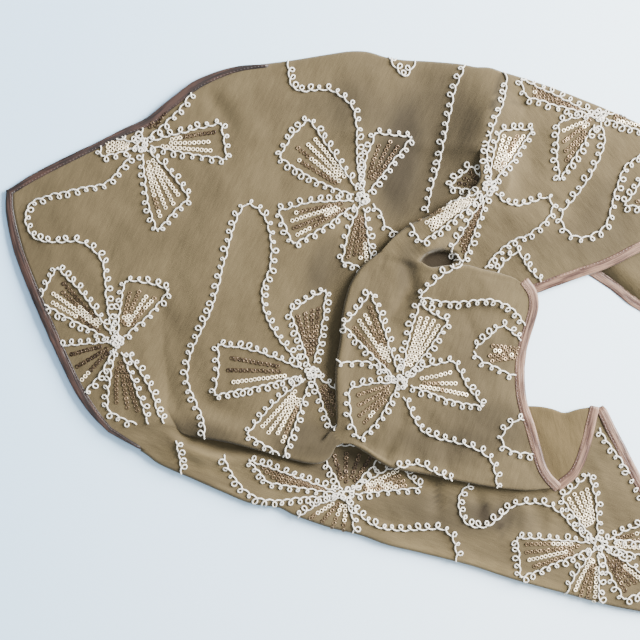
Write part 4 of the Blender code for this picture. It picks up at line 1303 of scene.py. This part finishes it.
def satin_material(name, dark, light, thread):
    """Folded satin: weave streaks and painted sheen along the strip, pressed lines painted as highlights, a
    dark line at the seam and a row of small stitches.
    """
    graph = Graph(name)
    threads = graph.value("ShaderNodeUVMap", "UV", uv_map="threads")
    parts = graph.node("ShaderNodeSeparateXYZ", {"Vector": threads})
    along, across = Value(graph, parts.outputs["X"]), Value(graph, parts.outputs["Y"])
    streaks = graph.fibres(threads, 200.0, 2600.0, 3.0, 0.6)
    folds = graph.fibres(threads, 45.0, 900.0, 2.0, 0.5)
    sheen = graph.fibres(threads, 30.0, 230.0, 2.0, 0.5)
    stitch_row = (((across - 0.0011) * 2600.0).power(2.0) * -1.0 + 1.0).clamp()
    stitch = ((along * 2094.0).sine() * 1.4).clamp() * stitch_row
    # Weave streaks, and larger dark and light patches along the strip that are painted sheen
    shade = streaks + (folds - 0.5) * 2.2 + (sheen - 0.5) * 3.6
    # Pressed lines: a darker one at the seam, and the middle and outer ones painted lighter as highlights
    inner_line = (1.0 - ((across - 0.0002) * 1800.0).power(2.0)).clamp()
    middle_line = (1.0 - ((across - 0.0034) * 3200.0).power(2.0)).clamp()
    outer_line = (1.0 - ((across - 0.0062) * 2600.0).power(2.0)).clamp()
    lines = middle_line * folds * 0.8 + outer_line * 0.35 - inner_line * 0.5
    colour = graph.mix((shade + lines).clamp(), dark, light)
    colour = graph.mix(stitch * 0.5, colour, thread)
    height = streaks * 0.3 + folds * 0.8 + stitch * 0.4
    normal = graph.bump(height, 0.0006, 0.8)
    graph.finish(Anisotropic=0.3, Sheen_Weight=0.1, Specular_IOR_Level=0.35)
    return graph.finish(Base_Color=colour, Roughness=streaks * 0.2 + 0.36, Normal=normal)


def cord_material(name):
    """Off-white cotton cord with a soft nap."""
    graph = Graph(name)
    place = graph.value("ShaderNodeTexCoord", "Object")
    fibres = graph.noise(place, 1800.0, 2.0, 0.6)
    patches = graph.noise(place, 90.0, 2.0, 0.5)
    colour = graph.mix(fibres * 0.6 + patches * 0.4, (0.46, 0.42, 0.35), (0.8, 0.77, 0.7))
    normal = graph.bump(fibres, 0.0004, 0.8)
    return graph.finish(Base_Color=colour, Roughness=0.62, Normal=normal, Sheen_Weight=0.2)


def sequin_material(name):
    """Metal foil rings: some painted bright as a reflection of the light, the others between dark brown and
    gold.
    """
    graph = Graph(name)
    painted_shine = graph.attribute("painted_shine")
    tone = graph.attribute("tone")
    place = graph.value("ShaderNodeTexCoord", "Object")
    scatter = graph.noise(place, 700.0, 1.0, 0.5)
    rim_painted_shade = graph.attribute("rim_painted_shade")
    gold = (tone + (scatter - 0.5) * 0.9).clamp()
    plain = graph.mix(gold, (0.022, 0.01, 0.005), (0.36, 0.245, 0.135))
    # Painted reflection: the sequins with the shine mark are painted bright
    colour = graph.mix(painted_shine, plain, (0.93, 0.79, 0.56))
    # Painted shade at the hole and the outer edge of each ring
    edge = graph.mix(painted_shine, (0.01, 0.005, 0.003), (0.2, 0.12, 0.055))
    colour = graph.mix((rim_painted_shade * 1.3 - 0.2).clamp(), colour, edge)
    return graph.finish(Base_Color=colour, Roughness=painted_shine * -0.04 + 0.30, Metallic=painted_shine * -0.2 + 0.55)


def stage():
    """The pale surface, the soft light from the right and the camera straight above."""
    graph = Graph("pale_surface")
    place = graph.node("ShaderNodeSeparateXYZ", {"Vector": graph.value("ShaderNodeTexCoord", "Object")})
    across, up = Value(graph, place.outputs["X"]), Value(graph, place.outputs["Y"])
    # Painted light: the surface is painted lighter towards the right, where the light falls
    right = (across * 2.1 - up * 0.5 + 0.86).clamp()
    surface = graph.mix(right, (0.53, 0.765, 1.0), (0.72, 0.875, 1.0))
    graph.finish(Base_Color=surface, Roughness=0.9, Specular_IOR_Level=0.1)
    mesh = bmesh.new()
    bmesh.ops.create_grid(mesh, x_segments=1, y_segments=1, size=3.0)
    from_mesh("surface", mesh, graph.material)

    world = bpy.data.worlds.new("room")
    bpy.context.scene.world = world
    world.use_nodes = True
    sky = world.node_tree.nodes["Background"]
    sky.inputs["Color"].default_value = (0.84, 0.92, 1.0, 1.0)
    sky.inputs["Strength"].default_value = 0.68
    for name, place, size, power, colour in (
        ("window", (1.86, 0.80, 1.10), 1.35, 455.0, (1.0, 0.98, 0.95)),
        ("ceiling", (0.1, 0.1, 1.9), 1.8, 18.0, (0.90, 0.95, 1.0)),
    ):
        light = bpy.data.lights.new(name, "AREA")
        light.shape = "SQUARE"
        light.size = size
        light.energy = power
        light.color = colour
        lamp = linked(name, light)
        lamp.location = place
        lamp.rotation_euler = (-Vector(place)).to_track_quat("-Z", "Y").to_euler()

    camera = bpy.data.cameras.new("camera")
    camera.lens = camera.sensor_width * CAMERA_HEIGHT / (PHOTO_WIDTH * PHOTO_STEP)
    camera.dof.use_dof = False
    eye = linked("camera", camera)
    middle = PHOTO_WIDTH / 2 * PHOTO_STEP
    eye.location = to_part(middle, middle, CAMERA_HEIGHT)
    bpy.context.scene.camera = eye


def build():
    """The whole scarf: cloth, bindings, cords and sequins."""
    cloth = cloth_material("cloth_crepe", (0.102, 0.076, 0.036), (0.078, 0.057, 0.026), (0.05, 0.036, 0.0155))
    wrong_side = (0.099, 0.069, 0.028), (0.075, 0.052, 0.02), (0.048, 0.033, 0.012)
    reverse = cloth_material("cloth_crepe_reverse", *wrong_side)
    # Two copies of one satin: satin_lit in its colours where the light falls, and satin_shaded darker as
    # painted shade, for the back binding that slopes away from the light
    satin = satin_material("satin_lit", (0.042, 0.0175, 0.0115), (0.176, 0.101, 0.066), (0.12, 0.074, 0.054))
    in_shade = (0.006, 0.0024, 0.0018), (0.04, 0.0185, 0.0125), (0.03, 0.017, 0.013)
    satin_shaded = satin_material("satin_shaded", *in_shade)
    cord = cord_material("cord_cotton")
    foil = sequin_material("sequin_foil")

    back, lobe, lower, turned = crown(), front_lobe(), lower_tail(), fold_back()
    upper, under_edge = upper_tail()
    cloths = Cloths({"crown": back, "lobe": lobe, "upper": upper, "lower": lower})

    full = (BINDING_WIDTH, BINDING_WIDTH)
    left_leg = lower.bound_edge("south", 0, 2)[::-1] + back.bound_edge("west")[1:]
    corner = round_corner(left_leg, back.bound_edge("north", 0, 16))
    back_nodes = "binding_back_upper", "binding_back_lower"
    front_edge = beyond(lobe.bound_edge("east"), start=4.2, end=1.5)
    turned_edge = beyond(turned.bound_edge("east"), start=6.0, end=3.4)
    lower_edge = leaned(beyond(lower.bound_edge("north", 27), start=12.2), 4.8, 38.0)
    bindings = [
        binding("binding_back", corner, BACK_WIDTHS, satin_shaded, *back_nodes, seed=1.0),
        binding("binding_lobe", front_edge, full, satin, "binding_front_lobe", seed=3.0),
        binding("binding_turned", turned_edge, full, satin, "binding_fold_back", seed=4.0),
        binding("binding_lower", lower_edge, full, satin, "binding_lower_tail", seed=5.0),
        binding("binding_upper", upper.bound_edge("south", 15), full, satin, "binding_upper_tail", seed=6.0),
        binding("binding_under", under_edge, full, satin, "binding_under_layer", thick=0.5, seed=7.0),
    ]

    runs = embroider(cloths)
    template = sequin_template()
    for name in cloths.trees:
        cord_piece(name + "_cord", runs[name], cord)
        rows = [petal for petal in PETALS + FANS if petal[0] == name]
        sequin_piece(name, rows, cloths, template, foil)
    whole = cloth_piece(
        "kerchief",
        ((back, -27.0), (lobe, -20.0), (upper, 40.0), (lower, 70.0)),
        cloth,
        ("crown", "front_lobe", "upper_tail", "lower_tail", "inner_folds"),
    )
    inside_out = cloth_piece("kerchief_turned", ((turned, 15.0),), reverse, ("fold_back",))
    cloth_piece("hidden_layers", ((hidden_heap(), 10.0),), cloth, ())
    stage()


build()
